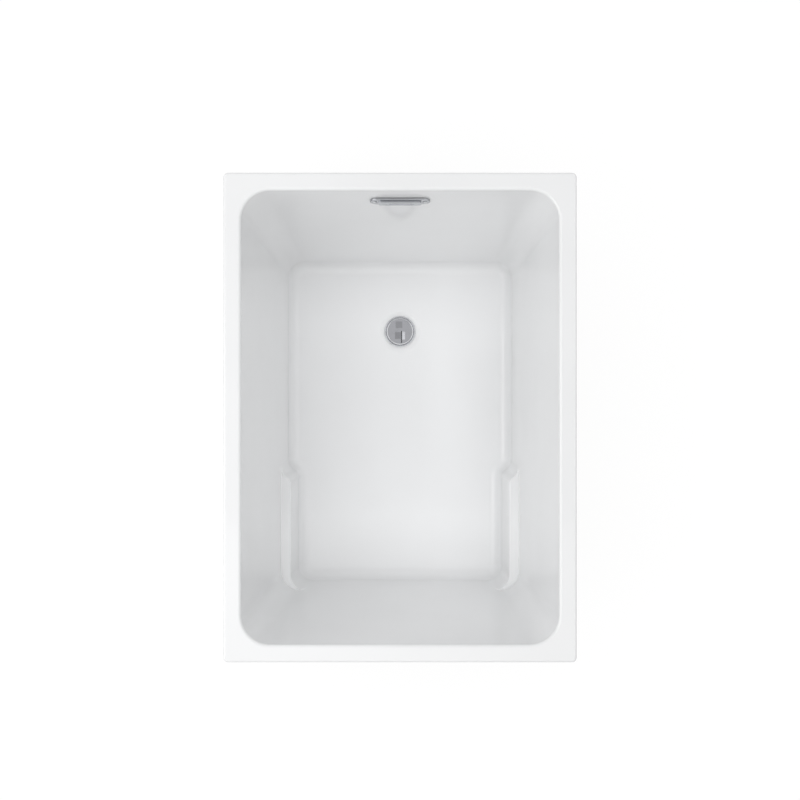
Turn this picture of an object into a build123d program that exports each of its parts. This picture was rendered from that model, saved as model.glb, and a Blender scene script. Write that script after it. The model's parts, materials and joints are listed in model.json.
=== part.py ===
from build123d import *
import math
import os

# Alcove bathtub, in millimetres. X runs across the tub, from the apron to the back wall. Y runs along it,
# towards the drain. Z is up from the building's floor, and the origin is under the middle of the tub.
os.makedirs("parts", exist_ok=True)

# Tub: overall size, and how far in the floor starts from the outer edges
tub_length = 900.0
tub_width = 650.0
tub_height = 600.0
end_wall_run = 100.0
side_wall_run = 80.0
floor_height = 100.0

# Tub: shell, rim and corners
shell_thickness = 5.0
rim_width = 32.0
rim_corner = 9.0
rim_edge_radius = 4.5
lip_radius = 6.0
skirt_drop = 35.0
opening_corner = 55.0
floor_corner = 38.0
floor_fillet = 27.0

# Seat supports moulded in the long walls
ledge_rise = 110.0
ledge_width = 20.0
ledge_length = 236.0
ledge_face_draft = 13.0
ledge_end_draft = 17.0
ledge_seat_corner = 33.0
ledge_nose_radius = 18.0
ledge_step_radius = 32.0
ledge_step_angle = 50.0

# Drain and its fittings
drain_inset = 150.0
drain_hole_clearance = 0.5
recess_radius = 44.0
recess_slope = 6.0
recess_depth = 2.0
flange_radius = 35.0
flange_height = 4.5
flange_lip = 3.0
flange_edge_radius = 2.0
flange_dish = 1.8
flange_seat_drop = 1.0
flange_seat_width = 2.0
flange_tube_radius = 23.5
flange_tube_wall = 3.5
gasket_thickness = 1.5
gasket_inset = 2.0
washer_thickness = 3.0
locknut_radius = 38.0
locknut_height = 10.0
locknut_flange = 3.0
locknut_lugs = 6
locknut_lug_size = (8.0, 10.0)
spider_drop = 12.0
spider_height = 5.0
spider_arm = 3.0
spider_root = 1.0
spider_hub_radius = 7.5
post_radius = 5.5
post_thread_radius = 4.0
post_bore = 2.58
post_tail = 17.0
post_head_height = 6.0
post_floor = 1.5
stem_end_gap = 2.0
stem_radius = 2.5
cap_gap = 1.5
cap_edge = 2.0
cap_crown = 1.8
cap_boss = 2.0
cap_chamfer = 0.6
seal_width = 4.5
seal_overlap = 3.5
seal_clearance = 0.25

# Waste body under the drain
socket_radius = 28.0
socket_depth = 24.0
socket_floor_height = 54.0
socket_step = 4.0
outlet_radius = 23.9
outlet_height = 10.0
outlet_length = 16.0
waste_neck_radius = 26.0
branch_height = 38.0
branch_length = 75.0
branch_root_length = 4.0
branch_root_depth = 3.0
branch_root_wall = 1.5

# Overflow
overflow_drop = 57.0
plate_length = 113.0
plate_width = 28.0
plate_thickness = 3.5
plate_edge_radius = 1.2
hood_length = 80.0
hood_width = 18.0
hood_depth = 3.8
hood_wall = 1.4
hood_corner = 4.0
hood_edge_radius = 1.0
window_length = 70.0
window_width = 12.0
slot_length = 74.0
slot_width = 14.0
slot_cut_start = 3.0
slot_cut_margin = 7.0
overflow_screw_spacing = 94.0
overflow_gasket_thickness = 1.0
overflow_gasket_length = 107.0
overflow_gasket_width = 24.0
overflow_body_length = 112.0
overflow_body_width = 30.0
overflow_body_depth = 20.0
overflow_body_wall = 2.5
overflow_body_edge = 3.0
overflow_screw_depth = 14.0
overflow_spigot_set_back = 11.75
overflow_spigot_length = 30.0
overflow_spigot_root = 6.0

# Overflow hose
hose_bore = 10.6
hose_cuff_radius = 12.5
hose_valley_radius = 12.0
hose_rib_radius = 14.0
hose_rib_pitch = 14.0
rib_rise = 0.25
rib_crest = 0.60
rib_fall = 0.85
hose_bend_radius = 55.0
hose_cuff_length = 28.0
hose_top_gap = 5.0
hose_step = 1.0
spigot_radius = 10.5
spigot_bore = 8.5
clamp_width = 9.0
clamp_thickness = 1.0
clamp_screw_block = (9.0, 7.0)
clamp_block_corner = 1.5

# Base board, rails and cross members
board_thickness = 12.0
board_margin = 4.0
board_corner = 20.0
board_drain_hole = 56.0
board_screw_cover = 2.0
tube_size = 30.0
tube_wall = 2.0
tube_corner = 3.0
rail_spacing = 350.0
rail_end_gap = 15.0
cross_seat_y = -230.0
cross_drain_y = 80.0
cross_plate_length = 70.0
cross_plate_height = 29.0
cross_plate_corner = 2.0
cross_plate_thickness = 3.0
cross_screw_spacing = 52.0
end_cap_flange = 2.0
end_cap_depth = 14.0
end_cap_clearance = 0.2
end_cap_wall = 2.5
end_cap_bore_corner = 0.5
board_screw_pitch = 190.0

# Battens and uprights under the rim
batten_height = 28.0
end_batten_depth = 17.5
front_batten_depth = 14.0
back_batten_depth = 17.0
batten_gap = 1.0
batten_chamfer = 1.5
batten_screw_depth = 16.0
front_batten_gap = 0.6
back_batten_gap = 2.0
end_batten_gap = 3.0
upright_size = 16.0
upright_wall = 1.5
plate_sheet = 3.0
foot_plate_length = 45.0
foot_plate_width = 26.0
top_plate_length = 60.0
top_screw_spacing = 40.0

# Apron, its brackets and screws
apron_thickness = 4.0
apron_skirt_gap = 0.4
apron_end_gap = 0.5
apron_bottom = 4.0
apron_top_gap = 5.0
apron_return = 18.0
apron_corner = 5.0
bracket_y = 250.0
bracket_width = 25.0
bracket_sheet = 3.0

# Feet
foot_y = 300.0
stem_thread_radius = 6.0
stem_clearance = 0.3
pad_radius = 22.0
pad_height = 9.0
pad_floor = 3.0
pad_chamfer = 1.5
pad_hub_wall = 6.0
pad_hub_chamfer = 1.0
stem_chamfer = 1.0
stem_headroom = 2.0
nut_across_flats = 19.0
nut_height = 10.0
collar_height = 7.0
collar_lift = 12.0

# Small screws
screw_radius = 2.2
screw_hole = 2.3
screw_head_radius = 4.0
screw_head_height = 2.5
screw_access = 7.0
screw_bite = 8.0
apron_screw_head_radius = 6.0
overflow_screw_head_height = 1.8


floor_length = tub_length - 2 * end_wall_run
floor_width = tub_width - 2 * side_wall_run
flange_tube_bore = flange_tube_radius - flange_tube_wall


def rise_share(z):
    return (z - floor_height) / (tub_height - floor_height)


def wall_y(z):
    return (floor_length + (tub_length - 2 * rim_width - floor_length) * rise_share(z)) / 2


def wall_x(z):
    return (floor_width + (tub_width - 2 * rim_width - floor_width) * rise_share(z)) / 2


def wall_corner(z):
    return floor_corner + (opening_corner - floor_corner) * rise_share(z)


# Heights and places that several pieces share
ledge_top = floor_height + ledge_rise
rim_underside = tub_height - shell_thickness
skirt_bottom = tub_height - skirt_drop
skirt_inner_x = tub_width / 2 - shell_thickness
skirt_inner_y = tub_length / 2 - shell_thickness
drain_y = floor_length / 2 - drain_inset
drain_seat = floor_height - recess_depth
drain_underside = drain_seat - shell_thickness
flange_underside = drain_seat + gasket_thickness
flange_top = flange_underside + flange_height
dish_radius = flange_radius - flange_lip - 1.0
dish_height = flange_top - flange_dish
seat_bottom = dish_height - flange_seat_drop
seat_inner = flange_tube_bore + 2.0
locknut_top = drain_underside - washer_thickness
spider_top = seat_bottom - spider_drop + spider_height
cap_radius = dish_radius - cap_gap
cap_underside = dish_height + 1.0
board_top = floor_height - shell_thickness
board_bottom = board_top - board_thickness
rail_bottom = board_bottom - tube_size
rail_x = rail_spacing / 2
tube_bore = tube_size - 2 * tube_wall
tube_middle = rail_bottom + tube_size / 2
rail_top = rail_bottom + tube_size
rail_length = tub_length - 2 * rail_end_gap
batten_bottom = rim_underside - batten_height
apron_face = -skirt_inner_x + apron_skirt_gap
apron_back = apron_face + apron_thickness
wall_tilt = math.degrees(math.atan((wall_y(tub_height) - floor_length / 2) / (tub_height - floor_height)))
overflow_z = tub_height - overflow_drop
overflow_y = wall_y(overflow_z)
hose_y = overflow_y + shell_thickness + overflow_spigot_set_back
board_screw_places = [(x, y) for x in (-rail_x, rail_x) for y in (-board_screw_pitch, 0.0, board_screw_pitch)]
foot_places = {
    "front_drain": (-rail_x, foot_y),
    "front_seat": (-rail_x, -foot_y),
    "back_drain": (rail_x, foot_y),
    "back_seat": (rail_x, -foot_y),
}


def basin_form(grow):
    # The basin's inside face, or that face moved outwards by the shell's thickness
    level = ledge_top - grow
    with BuildPart() as form:
        for z in (floor_height - grow, level):
            drop = (ledge_top - z) / ledge_rise
            inner = wall_x(ledge_top) - ledge_width - ledge_face_draft * drop
            nose = -wall_y(ledge_top) + ledge_length + ledge_end_draft * drop
            step = nose + (wall_x(z) - inner) / math.tan(math.radians(ledge_step_angle))
            side = wall_x(z)
            end = wall_y(z)
            with BuildSketch(Plane.XY.offset(z)) as plan:
                Polygon(
                    (inner, -end), (inner, nose), (side, step), (side, end),
                    (-side, end), (-side, step), (-inner, nose), (-inner, -end), align=None,
                )
                for y, radius in (
                    (end, wall_corner(z)), (step, ledge_step_radius),
                    (nose, ledge_nose_radius), (-end, ledge_seat_corner),
                ):
                    fillet(plan.vertices().filter_by_position(Axis.Y, y - 0.01, y + 0.01), radius)
                if grow:
                    offset(amount=grow)
        loft(ruled=True)
        for z in (level, tub_height):
            with BuildSketch(Plane.XY.offset(z)):
                RectangleRounded(2 * (wall_x(z) + grow), 2 * (wall_y(z) + grow), wall_corner(z) + grow)
        loft(ruled=True)
        fillet(form.faces().sort_by(Axis.Z)[0].edges(), floor_fillet + grow)
    return form.part


def ring(outer, bore, low, high, x=0.0, y=0.0):
    with BuildPart() as piece:
        with BuildSketch(Plane.XY.offset(low)):
            with Locations((x, y)):
                Circle(outer)
                Circle(bore, mode=Mode.SUBTRACT)
        extrude(amount=high - low)
    return piece.part


def screw(length, head_radius=screw_head_radius, head_height=screw_head_height):
    # A screw whose head stands on the XY plane, with its shank running down
    with BuildPart() as piece:
        with BuildSketch(Plane.XZ):
            with BuildLine():
                Polyline(
                    (0, -length), (screw_radius, -length), (screw_radius, 0), (head_radius, 0),
                    (head_radius, head_height), (0, head_height), close=True,
                )
            make_face()
        revolve(axis=Axis.Z)
    return piece.part


overflow_plane = Plane(
    origin=(0, overflow_y, overflow_z),
    x_dir=(1, 0, 0),
    z_dir=(0, -math.cos(math.radians(wall_tilt)), math.sin(math.radians(wall_tilt))),
)

# Tub shell: rim with its turned-down skirt, basin, seat supports, drain recess and overflow slot
basin_outside = basin_form(shell_thickness)
basin_inside = basin_form(0.0)
with BuildPart() as tub_shell:
    with BuildSketch(Plane.XY.offset(skirt_bottom)):
        RectangleRounded(tub_width, tub_length, rim_corner)
    extrude(amount=skirt_drop)
    fillet(tub_shell.faces().sort_by(Axis.Z)[-1].edges(), rim_edge_radius)
    with BuildSketch(Plane.XY.offset(skirt_bottom)):
        RectangleRounded(2 * skirt_inner_x, 2 * skirt_inner_y, rim_corner - shell_thickness)
    extrude(amount=skirt_drop - shell_thickness, mode=Mode.SUBTRACT)
    add(basin_outside)
    with BuildSketch(Plane.XY.offset(drain_underside)):
        with Locations((0, drain_y)):
            Circle(recess_radius)
    extrude(amount=shell_thickness)
    add(basin_inside, mode=Mode.SUBTRACT)
    lip = tub_shell.faces().sort_by(Axis.Z)[-1].inner_wires()[0].edges()
    fillet(lip, lip_radius)
    with BuildSketch(overflow_plane.offset(slot_cut_start)):
        SlotOverall(slot_length, slot_width)
        with GridLocations(overflow_screw_spacing, 0, 2, 1):
            Circle(screw_hole)
    extrude(amount=-(shell_thickness + slot_cut_margin), mode=Mode.SUBTRACT)
    for z, radius in ((drain_seat, recess_radius - recess_slope), (floor_height, recess_radius)):
        with BuildSketch(Plane.XY.offset(z)):
            with Locations((0, drain_y)):
                Circle(radius)
    loft(ruled=True, mode=Mode.SUBTRACT)
    with BuildSketch(Plane.XY.offset(drain_underside)):
        with Locations((0, drain_y)):
            Circle(flange_tube_radius + drain_hole_clearance)
    extrude(amount=shell_thickness, mode=Mode.SUBTRACT)
tub_shell.part.label = "tub_shell"
export_step(tub_shell.part, "parts/tub_shell.step")

# Base board, bonded under the basin's floor
board_x = wall_x(ledge_top) - ledge_width - ledge_face_draft - floor_fillet - board_margin
board_y = floor_length / 2 - floor_fillet - board_margin
with BuildPart() as base_board:
    with BuildSketch(Plane.XY.offset(board_bottom)):
        RectangleRounded(2 * board_x, 2 * board_y, board_corner)
        with Locations((0, drain_y)):
            Circle(board_drain_hole, mode=Mode.SUBTRACT)
    extrude(amount=board_thickness)
    with BuildSketch(Plane.XY.offset(board_bottom)):
        with Locations(*board_screw_places):
            Circle(screw_hole)
    extrude(amount=board_thickness - board_screw_cover, mode=Mode.SUBTRACT)
base_board.part.label = "base_board"
export_step(base_board.part, "parts/base_board.step")

# Base rails: square tubes with foot holes, screw holes and open ends
cross_places = {"seat": cross_seat_y, "drain": cross_drain_y}
for side, x in (("front", -rail_x), ("back", rail_x)):
    inward = -math.copysign(1.0, x)
    inner_face = x + inward * tube_size / 2
    outer_face = x - inward * tube_size / 2
    with BuildPart() as rail:
        with BuildSketch(Plane.XZ.offset(-rail_length / 2)) as section:
            with Locations((x, tube_middle)):
                RectangleRounded(tube_size, tube_size, tube_corner)
                RectangleRounded(tube_bore, tube_bore, tube_corner - tube_wall, mode=Mode.SUBTRACT)
        extrude(amount=rail_length)
        with BuildSketch(Plane.XY.offset(rail_bottom)):
            with Locations((x, foot_y), (x, -foot_y)):
                Circle(stem_thread_radius + stem_clearance)
            with Locations(*[place for place in board_screw_places if place[0] == x]):
                Circle(screw_access)
        extrude(amount=tube_wall, mode=Mode.SUBTRACT)
        with BuildSketch(Plane.XY.offset(board_bottom)):
            with Locations(*[place for place in board_screw_places if place[0] == x]):
                Circle(screw_hole)
            upright_screw_y = tub_length / 2 - foot_plate_length
            with Locations((x, upright_screw_y), (x, -upright_screw_y)):
                Circle(screw_hole)
        extrude(amount=-tube_wall, mode=Mode.SUBTRACT)
        with BuildSketch(Plane.YZ.offset(inner_face)):
            for y in cross_places.values():
                with Locations((y, tube_middle)):
                    with GridLocations(cross_screw_spacing, 0, 2, 1):
                        Circle(screw_hole)
        extrude(amount=-inward * tube_wall, mode=Mode.SUBTRACT)
        if side == "front":
            with BuildSketch(Plane.YZ.offset(outer_face)):
                with Locations((bracket_y, tube_middle), (-bracket_y, tube_middle)):
                    Circle(screw_hole)
            extrude(amount=inward * tube_wall, mode=Mode.SUBTRACT)
    rail.part.label = f"base_rail_{side}"
    export_step(rail.part, f"parts/base_rail_{side}.step")

# Rail end caps: four plastic plugs
plug_size = tube_bore - end_cap_clearance
plug_bore = plug_size - 2 * end_cap_wall
with BuildPart() as rail_end_caps:
    for end in (-1, 1):
        with BuildSketch(Plane.XZ.offset(-end * rail_length / 2)):
            with GridLocations(rail_spacing, 0, 2, 1):
                with Locations((0, tube_middle)):
                    RectangleRounded(tube_size, tube_size, tube_corner)
        extrude(amount=-end * end_cap_flange)
        with BuildSketch(Plane.XZ.offset(-end * rail_length / 2)):
            with GridLocations(rail_spacing, 0, 2, 1):
                with Locations((0, tube_middle)):
                    RectangleRounded(plug_size, plug_size, tube_corner - tube_wall)
                    RectangleRounded(plug_bore, plug_bore, end_cap_bore_corner, mode=Mode.SUBTRACT)
        extrude(amount=end * end_cap_depth)
rail_end_caps.part.label = "rail_end_caps"
export_step(rail_end_caps.part, "parts/rail_end_caps.step")

# Cross members between the rails, with a screwed plate at each end
cross_half = rail_x - tube_size / 2
for name, y in cross_places.items():
    with BuildPart() as cross_member:
        with BuildSketch(Plane.YZ.offset(-cross_half + cross_plate_thickness)):
            with Locations((y, tube_middle)):
                RectangleRounded(tube_size, tube_size, tube_corner)
                RectangleRounded(tube_bore, tube_bore, tube_corner - tube_wall, mode=Mode.SUBTRACT)
        extrude(amount=2 * (cross_half - cross_plate_thickness))
        for x in (-cross_half, cross_half - cross_plate_thickness):
            with BuildSketch(Plane.YZ.offset(x)):
                with Locations((y, tube_middle)):
                    RectangleRounded(cross_plate_length, cross_plate_height, cross_plate_corner)
                    with GridLocations(cross_screw_spacing, 0, 2, 1):
                        Circle(screw_hole, mode=Mode.SUBTRACT)
            extrude(amount=cross_plate_thickness)
    cross_member.part.label = f"cross_member_{name}"
    export_step(cross_member.part, f"parts/cross_member_{name}.step")

# Cross member screws, driven outwards into the rails
cross_screw = screw(cross_plate_thickness + tube_wall + screw_bite)
with BuildPart() as cross_member_screws:
    for side in (-1, 1):
        face_x = side * (cross_half - cross_plate_thickness)
        for y in cross_places.values():
            for step in (-cross_screw_spacing / 2, cross_screw_spacing / 2):
                place = Plane(
                    origin=(face_x, y + step, tube_middle), x_dir=(0, 1, 0), z_dir=(-side, 0, 0)
                )
                with Locations(place):
                    add(cross_screw)
cross_member_screws.part.label = "cross_member_screws"
export_step(cross_member_screws.part, "parts/cross_member_screws.step")

# Board screws, driven up through the rails
board_screw = screw(tube_wall + screw_bite)
with BuildPart() as board_screws:
    for x, y in board_screw_places:
        with Locations(Plane(origin=(x, y, board_bottom - tube_wall), x_dir=(1, 0, 0), z_dir=(0, 0, -1))):
            add(board_screw)
board_screws.part.label = "board_screws"
export_step(board_screws.part, "parts/board_screws.step")

# Battens glued under the rim: two along the sides and two across the ends
front_batten_face = apron_back + front_batten_gap
back_batten_outer = skirt_inner_x - back_batten_gap
side_batten_x = {
    "front": (front_batten_face, front_batten_face + front_batten_depth),
    "back": (back_batten_outer - back_batten_depth, back_batten_outer),
}
for side, (low_x, high_x) in side_batten_x.items():
    with BuildPart() as side_batten:
        with BuildSketch(Plane.XY.offset(batten_bottom)):
            with Locations(((low_x + high_x) / 2, 0)):
                Rectangle(high_x - low_x, 2 * (skirt_inner_y - shell_thickness))
        extrude(amount=batten_height)
        chamfer(side_batten.faces().sort_by(Axis.Z)[0].edges().filter_by(Axis.Y), batten_chamfer)
    side_batten.part.label = f"rim_batten_{side}"
    export_step(side_batten.part, f"parts/rim_batten_{side}.step")
end_batten_outer = skirt_inner_y - end_batten_gap
end_batten_y = end_batten_outer - end_batten_depth / 2
for end, sign in (("drain", 1), ("seat", -1)):
    with BuildPart() as end_batten:
        with BuildSketch(Plane.XY.offset(batten_bottom)):
            with Locations((0, sign * end_batten_y)):
                low_x = side_batten_x["front"][1] + batten_gap
                Rectangle(-2 * low_x, end_batten_depth)
        extrude(amount=batten_height)
        chamfer(end_batten.faces().sort_by(Axis.Z)[0].edges().filter_by(Axis.X), batten_chamfer)
        with BuildSketch(Plane.XY.offset(batten_bottom)):
            for x in (-rail_x, rail_x):
                with Locations((x, sign * end_batten_y)):
                    with GridLocations(top_screw_spacing, 0, 2, 1):
                        Circle(screw_hole)
        extrude(amount=batten_screw_depth, mode=Mode.SUBTRACT)
    end_batten.part.label = f"rim_batten_{end}"
    export_step(end_batten.part, f"parts/rim_batten_{end}.step")

# Uprights from the base rails to the end battens
upright_bore = upright_size - 2 * upright_wall
for name, (x, foot_place) in foot_places.items():
    sign = math.copysign(1.0, foot_place)
    with BuildPart() as upright:
        with BuildSketch(Plane.XY.offset(board_bottom + plate_sheet)):
            with Locations((x, sign * end_batten_y)):
                Rectangle(upright_size, upright_size)
                Rectangle(upright_bore, upright_bore, mode=Mode.SUBTRACT)
        extrude(amount=batten_bottom - board_bottom - 2 * plate_sheet)
        with BuildSketch(Plane.XY.offset(board_bottom)):
            plate_outer = end_batten_y + upright_size / 2
            with Locations((x, sign * (plate_outer - foot_plate_length / 2))):
                Rectangle(foot_plate_width, foot_plate_length)
            with Locations((x, sign * (tub_length / 2 - foot_plate_length))):
                Circle(screw_hole, mode=Mode.SUBTRACT)
        extrude(amount=plate_sheet)
        with BuildSketch(Plane.XY.offset(batten_bottom - plate_sheet)):
            with Locations((x, sign * end_batten_y)):
                Rectangle(top_plate_length, upright_size)
                with GridLocations(top_screw_spacing, 0, 2, 1):
                    Circle(screw_hole, mode=Mode.SUBTRACT)
        extrude(amount=plate_sheet)
    upright.part.label = f"upright_{name}"
    export_step(upright.part, f"parts/upright_{name}.step")

# Upright screws: down into the rails, and up into the battens
upright_screw = screw(plate_sheet + screw_bite)
with BuildPart() as upright_screws:
    for x, foot_place in foot_places.values():
        sign = math.copysign(1.0, foot_place)
        with Locations((x, sign * (tub_length / 2 - foot_plate_length), board_bottom + plate_sheet)):
            add(upright_screw)
        for step in (-top_screw_spacing / 2, top_screw_spacing / 2):
            place = Plane(
                origin=(x + step, sign * end_batten_y, batten_bottom - plate_sheet),
                x_dir=(1, 0, 0), z_dir=(0, 0, -1),
            )
            with Locations(place):
                add(upright_screw)
upright_screws.part.label = "upright_screws"
export_step(upright_screws.part, "parts/upright_screws.step")

# Levelling feet: a pad and a threaded stem at each corner
stem_top = board_bottom - tube_wall - stem_headroom
pad_hub_radius = stem_thread_radius + pad_hub_wall
for name, (x, y) in foot_places.items():
    with BuildPart() as foot_pad:
        with BuildSketch(Plane.XZ):
            with BuildLine():
                Polyline(
                    (0, 0), (pad_radius - pad_chamfer, 0), (pad_radius, pad_chamfer), (pad_radius, pad_floor),
                    (pad_hub_radius, pad_height - pad_hub_chamfer),
                    (pad_hub_radius - pad_hub_chamfer, pad_height), (stem_thread_radius, pad_height),
                    (stem_thread_radius, pad_floor), (0, pad_floor), close=True,
                )
            make_face()
        revolve(axis=Axis.Z)
    with BuildPart() as foot_stem:
        with BuildSketch(Plane.XY.offset(pad_floor)):
            Circle(stem_thread_radius)
        extrude(amount=stem_top - pad_floor)
        chamfer(foot_stem.faces().sort_by(Axis.Z)[-1].edges(), stem_chamfer)
        with BuildSketch(Plane.XY.offset(collar_lift)):
            RegularPolygon(nut_across_flats / 2, 6, major_radius=False)
        extrude(amount=collar_height)
    pad = foot_pad.part.moved(Location((x, y, 0)))
    pad.label = f"foot_pad_{name}"
    export_step(pad, f"parts/foot_pad_{name}.step")
    stem = foot_stem.part.moved(Location((x, y, 0)))
    stem.label = f"foot_stem_{name}"
    export_step(stem, f"parts/foot_stem_{name}.step")

# Lock nuts on the feet, against the undersides of the rails
with BuildPart() as foot_lock_nuts:
    with BuildSketch(Plane.XY.offset(rail_bottom - nut_height)):
        with Locations(*foot_places.values()):
            RegularPolygon(nut_across_flats / 2, 6, major_radius=False)
            Circle(stem_thread_radius + stem_clearance, mode=Mode.SUBTRACT)
    extrude(amount=nut_height)
foot_lock_nuts.part.label = "foot_lock_nuts"
export_step(foot_lock_nuts.part, "parts/foot_lock_nuts.step")

# Apron: a sheet that stands behind the rim's skirt, with returns at its ends and foot
apron_half = skirt_inner_y - apron_end_gap
apron_top = rim_underside - apron_top_gap
with BuildPart() as front_apron:
    with BuildSketch(Plane.XY.offset(apron_bottom)):
        with Locations((apron_face + apron_return / 2, 0)):
            Rectangle(apron_return, 2 * apron_half)
    extrude(amount=apron_top - apron_bottom)
    outer_edges = front_apron.edges().filter_by(Axis.Z).group_by(Axis.X)[0]
    fillet(outer_edges, apron_corner)
    with BuildSketch(Plane.XY.offset(apron_bottom + apron_thickness)) as inside:
        with Locations((apron_back + apron_return / 2, 0)):
            Rectangle(apron_return, 2 * (apron_half - apron_thickness))
        fillet(inside.vertices().group_by(Axis.X)[0], apron_corner - apron_thickness)
    extrude(amount=tub_height, mode=Mode.SUBTRACT)
    with BuildSketch(Plane.YZ.offset(apron_face)):
        with Locations((bracket_y, tube_middle), (-bracket_y, tube_middle)):
            Circle(screw_hole)
    extrude(amount=apron_thickness, mode=Mode.SUBTRACT)
front_apron.part.label = "front_apron"
export_step(front_apron.part, "parts/front_apron.step")

# Apron brackets: folded straps from the front rail to the apron's foot
rail_face = -rail_x - tube_size / 2
for name, y in (("drain", bracket_y), ("seat", -bracket_y)):
    with BuildPart() as bracket:
        with BuildSketch(Plane.XZ.offset(-(y + bracket_width / 2))):
            with BuildLine():
                Polyline(
                    (apron_back, rail_top), (apron_back, rail_bottom), (rail_face, rail_bottom),
                    (rail_face, rail_top), (rail_face - bracket_sheet, rail_top),
                    (rail_face - bracket_sheet, rail_bottom + bracket_sheet),
                    (apron_back + bracket_sheet, rail_bottom + bracket_sheet),
                    (apron_back + bracket_sheet, rail_top), close=True,
                )
            make_face()
        extrude(amount=bracket_width)
        folds = bracket.edges().filter_by(Axis.Y).group_by(Axis.Z)
        fillet(folds[0], bracket_sheet)
        with BuildSketch(Plane.YZ.offset(apron_back)):
            with Locations((y, tube_middle)):
                Circle(screw_hole)
        extrude(amount=rail_face - apron_back, mode=Mode.SUBTRACT)
    bracket.part.label = f"apron_bracket_{name}"
    export_step(bracket.part, f"parts/apron_bracket_{name}.step")

# Bracket screws, into the front rail
bracket_screw = screw(bracket_sheet + tube_wall + screw_bite)
with BuildPart() as bracket_screws:
    for y in (-bracket_y, bracket_y):
        place = Plane(origin=(rail_face - bracket_sheet, y, tube_middle), x_dir=(0, 1, 0), z_dir=(-1, 0, 0))
        with Locations(place):
            add(bracket_screw)
bracket_screws.part.label = "bracket_screws"
export_step(bracket_screws.part, "parts/bracket_screws.step")

# Apron screws, with domed heads on the apron's face
apron_screw = screw(apron_thickness + bracket_sheet + screw_bite, head_radius=apron_screw_head_radius)
with BuildPart() as apron_screws:
    for y in (-bracket_y, bracket_y):
        with Locations(Plane(origin=(apron_face, y, tube_middle), x_dir=(0, 1, 0), z_dir=(-1, 0, 0))):
            add(apron_screw)
apron_screws.part.label = "apron_screws"
export_step(apron_screws.part, "parts/apron_screws.step")

# Drain gasket, on the recess under the flange
gasket_radius = flange_radius - gasket_inset
drain_gasket = ring(gasket_radius, flange_tube_radius, drain_seat, flange_underside, 0, drain_y)
drain_gasket.label = "drain_gasket"
export_step(drain_gasket, "parts/drain_gasket.step")

# Drain flange: dished rim, conical valve seat, threaded tube and the spider that holds the post
edge_start = (flange_radius, flange_top - flange_edge_radius)
edge_end = (flange_radius - flange_edge_radius, flange_top)
spider_length = 2 * (flange_tube_bore + spider_root)
with BuildPart() as drain_flange:
    with BuildSketch(Plane.XZ):
        with BuildLine():
            Polyline(
                (flange_tube_bore, socket_floor_height), (flange_tube_radius, socket_floor_height),
                (flange_tube_radius, flange_underside), (flange_radius, flange_underside),
                edge_start,
            )
            TangentArc(edge_start, edge_end, tangent=(0, 1))
            Polyline(
                edge_end, (flange_radius - flange_lip, flange_top), (dish_radius, dish_height),
                (seat_inner, seat_bottom), (flange_tube_bore, seat_bottom - flange_seat_width),
                (flange_tube_bore, socket_floor_height),
            )
        make_face()
    revolve(axis=Axis.Z)
    with BuildSketch(Plane.XY.offset(spider_top - spider_height)):
        Rectangle(spider_length, spider_arm)
        Rectangle(spider_arm, spider_length)
        Circle(spider_hub_radius)
    extrude(amount=spider_height)
    with BuildSketch(Plane.XY.offset(spider_top - spider_height)):
        Circle(post_thread_radius)
    extrude(amount=spider_height, mode=Mode.SUBTRACT)
flange = drain_flange.part.moved(Location((0, drain_y, 0)))
flange.label = "drain_flange"
export_step(flange, "parts/drain_flange.step")

# Drain washer and locknut under the shell
washer_radius = locknut_radius - gasket_inset
drain_washer = ring(washer_radius, flange_tube_radius, locknut_top, drain_underside, 0, drain_y)
drain_washer.label = "drain_washer"
export_step(drain_washer, "parts/drain_washer.step")
with BuildPart() as drain_locknut:
    with BuildSketch(Plane.XY.offset(locknut_top - locknut_height)):
        with Locations((0, drain_y)):
            Circle(locknut_radius - locknut_flange)
            with PolarLocations(locknut_radius - locknut_lug_size[0] / 2, locknut_lugs):
                Rectangle(*locknut_lug_size)
            Circle(flange_tube_radius, mode=Mode.SUBTRACT)
    extrude(amount=locknut_height)
    with BuildSketch(Plane.XY.offset(locknut_top - locknut_flange)):
        with Locations((0, drain_y)):
            Circle(locknut_radius)
            Circle(flange_tube_radius, mode=Mode.SUBTRACT)
    extrude(amount=locknut_flange)
drain_locknut.part.label = "drain_locknut"
export_step(drain_locknut.part, "parts/drain_locknut.step")

# Stopper post, screwed in the spider, with a bore that guides the stopper's stem
post_top = spider_top + post_head_height
post_bottom = spider_top - post_tail
with BuildPart() as stopper_post:
    with BuildSketch(Plane.XY.offset(spider_top)):
        with Locations((0, drain_y)):
            RegularPolygon(post_radius, 6, major_radius=False)
    extrude(amount=post_top - spider_top)
    with BuildSketch(Plane.XY.offset(post_bottom)):
        with Locations((0, drain_y)):
            Circle(post_thread_radius)
    extrude(amount=spider_top - post_bottom)
    with BuildSketch(Plane.XY.offset(post_bottom + post_floor)):
        with Locations((0, drain_y)):
            Circle(post_bore)
    extrude(amount=post_top - post_bottom, mode=Mode.SUBTRACT)
stopper_post.part.label = "stopper_post"
export_step(stopper_post.part, "parts/stopper_post.step")

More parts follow.
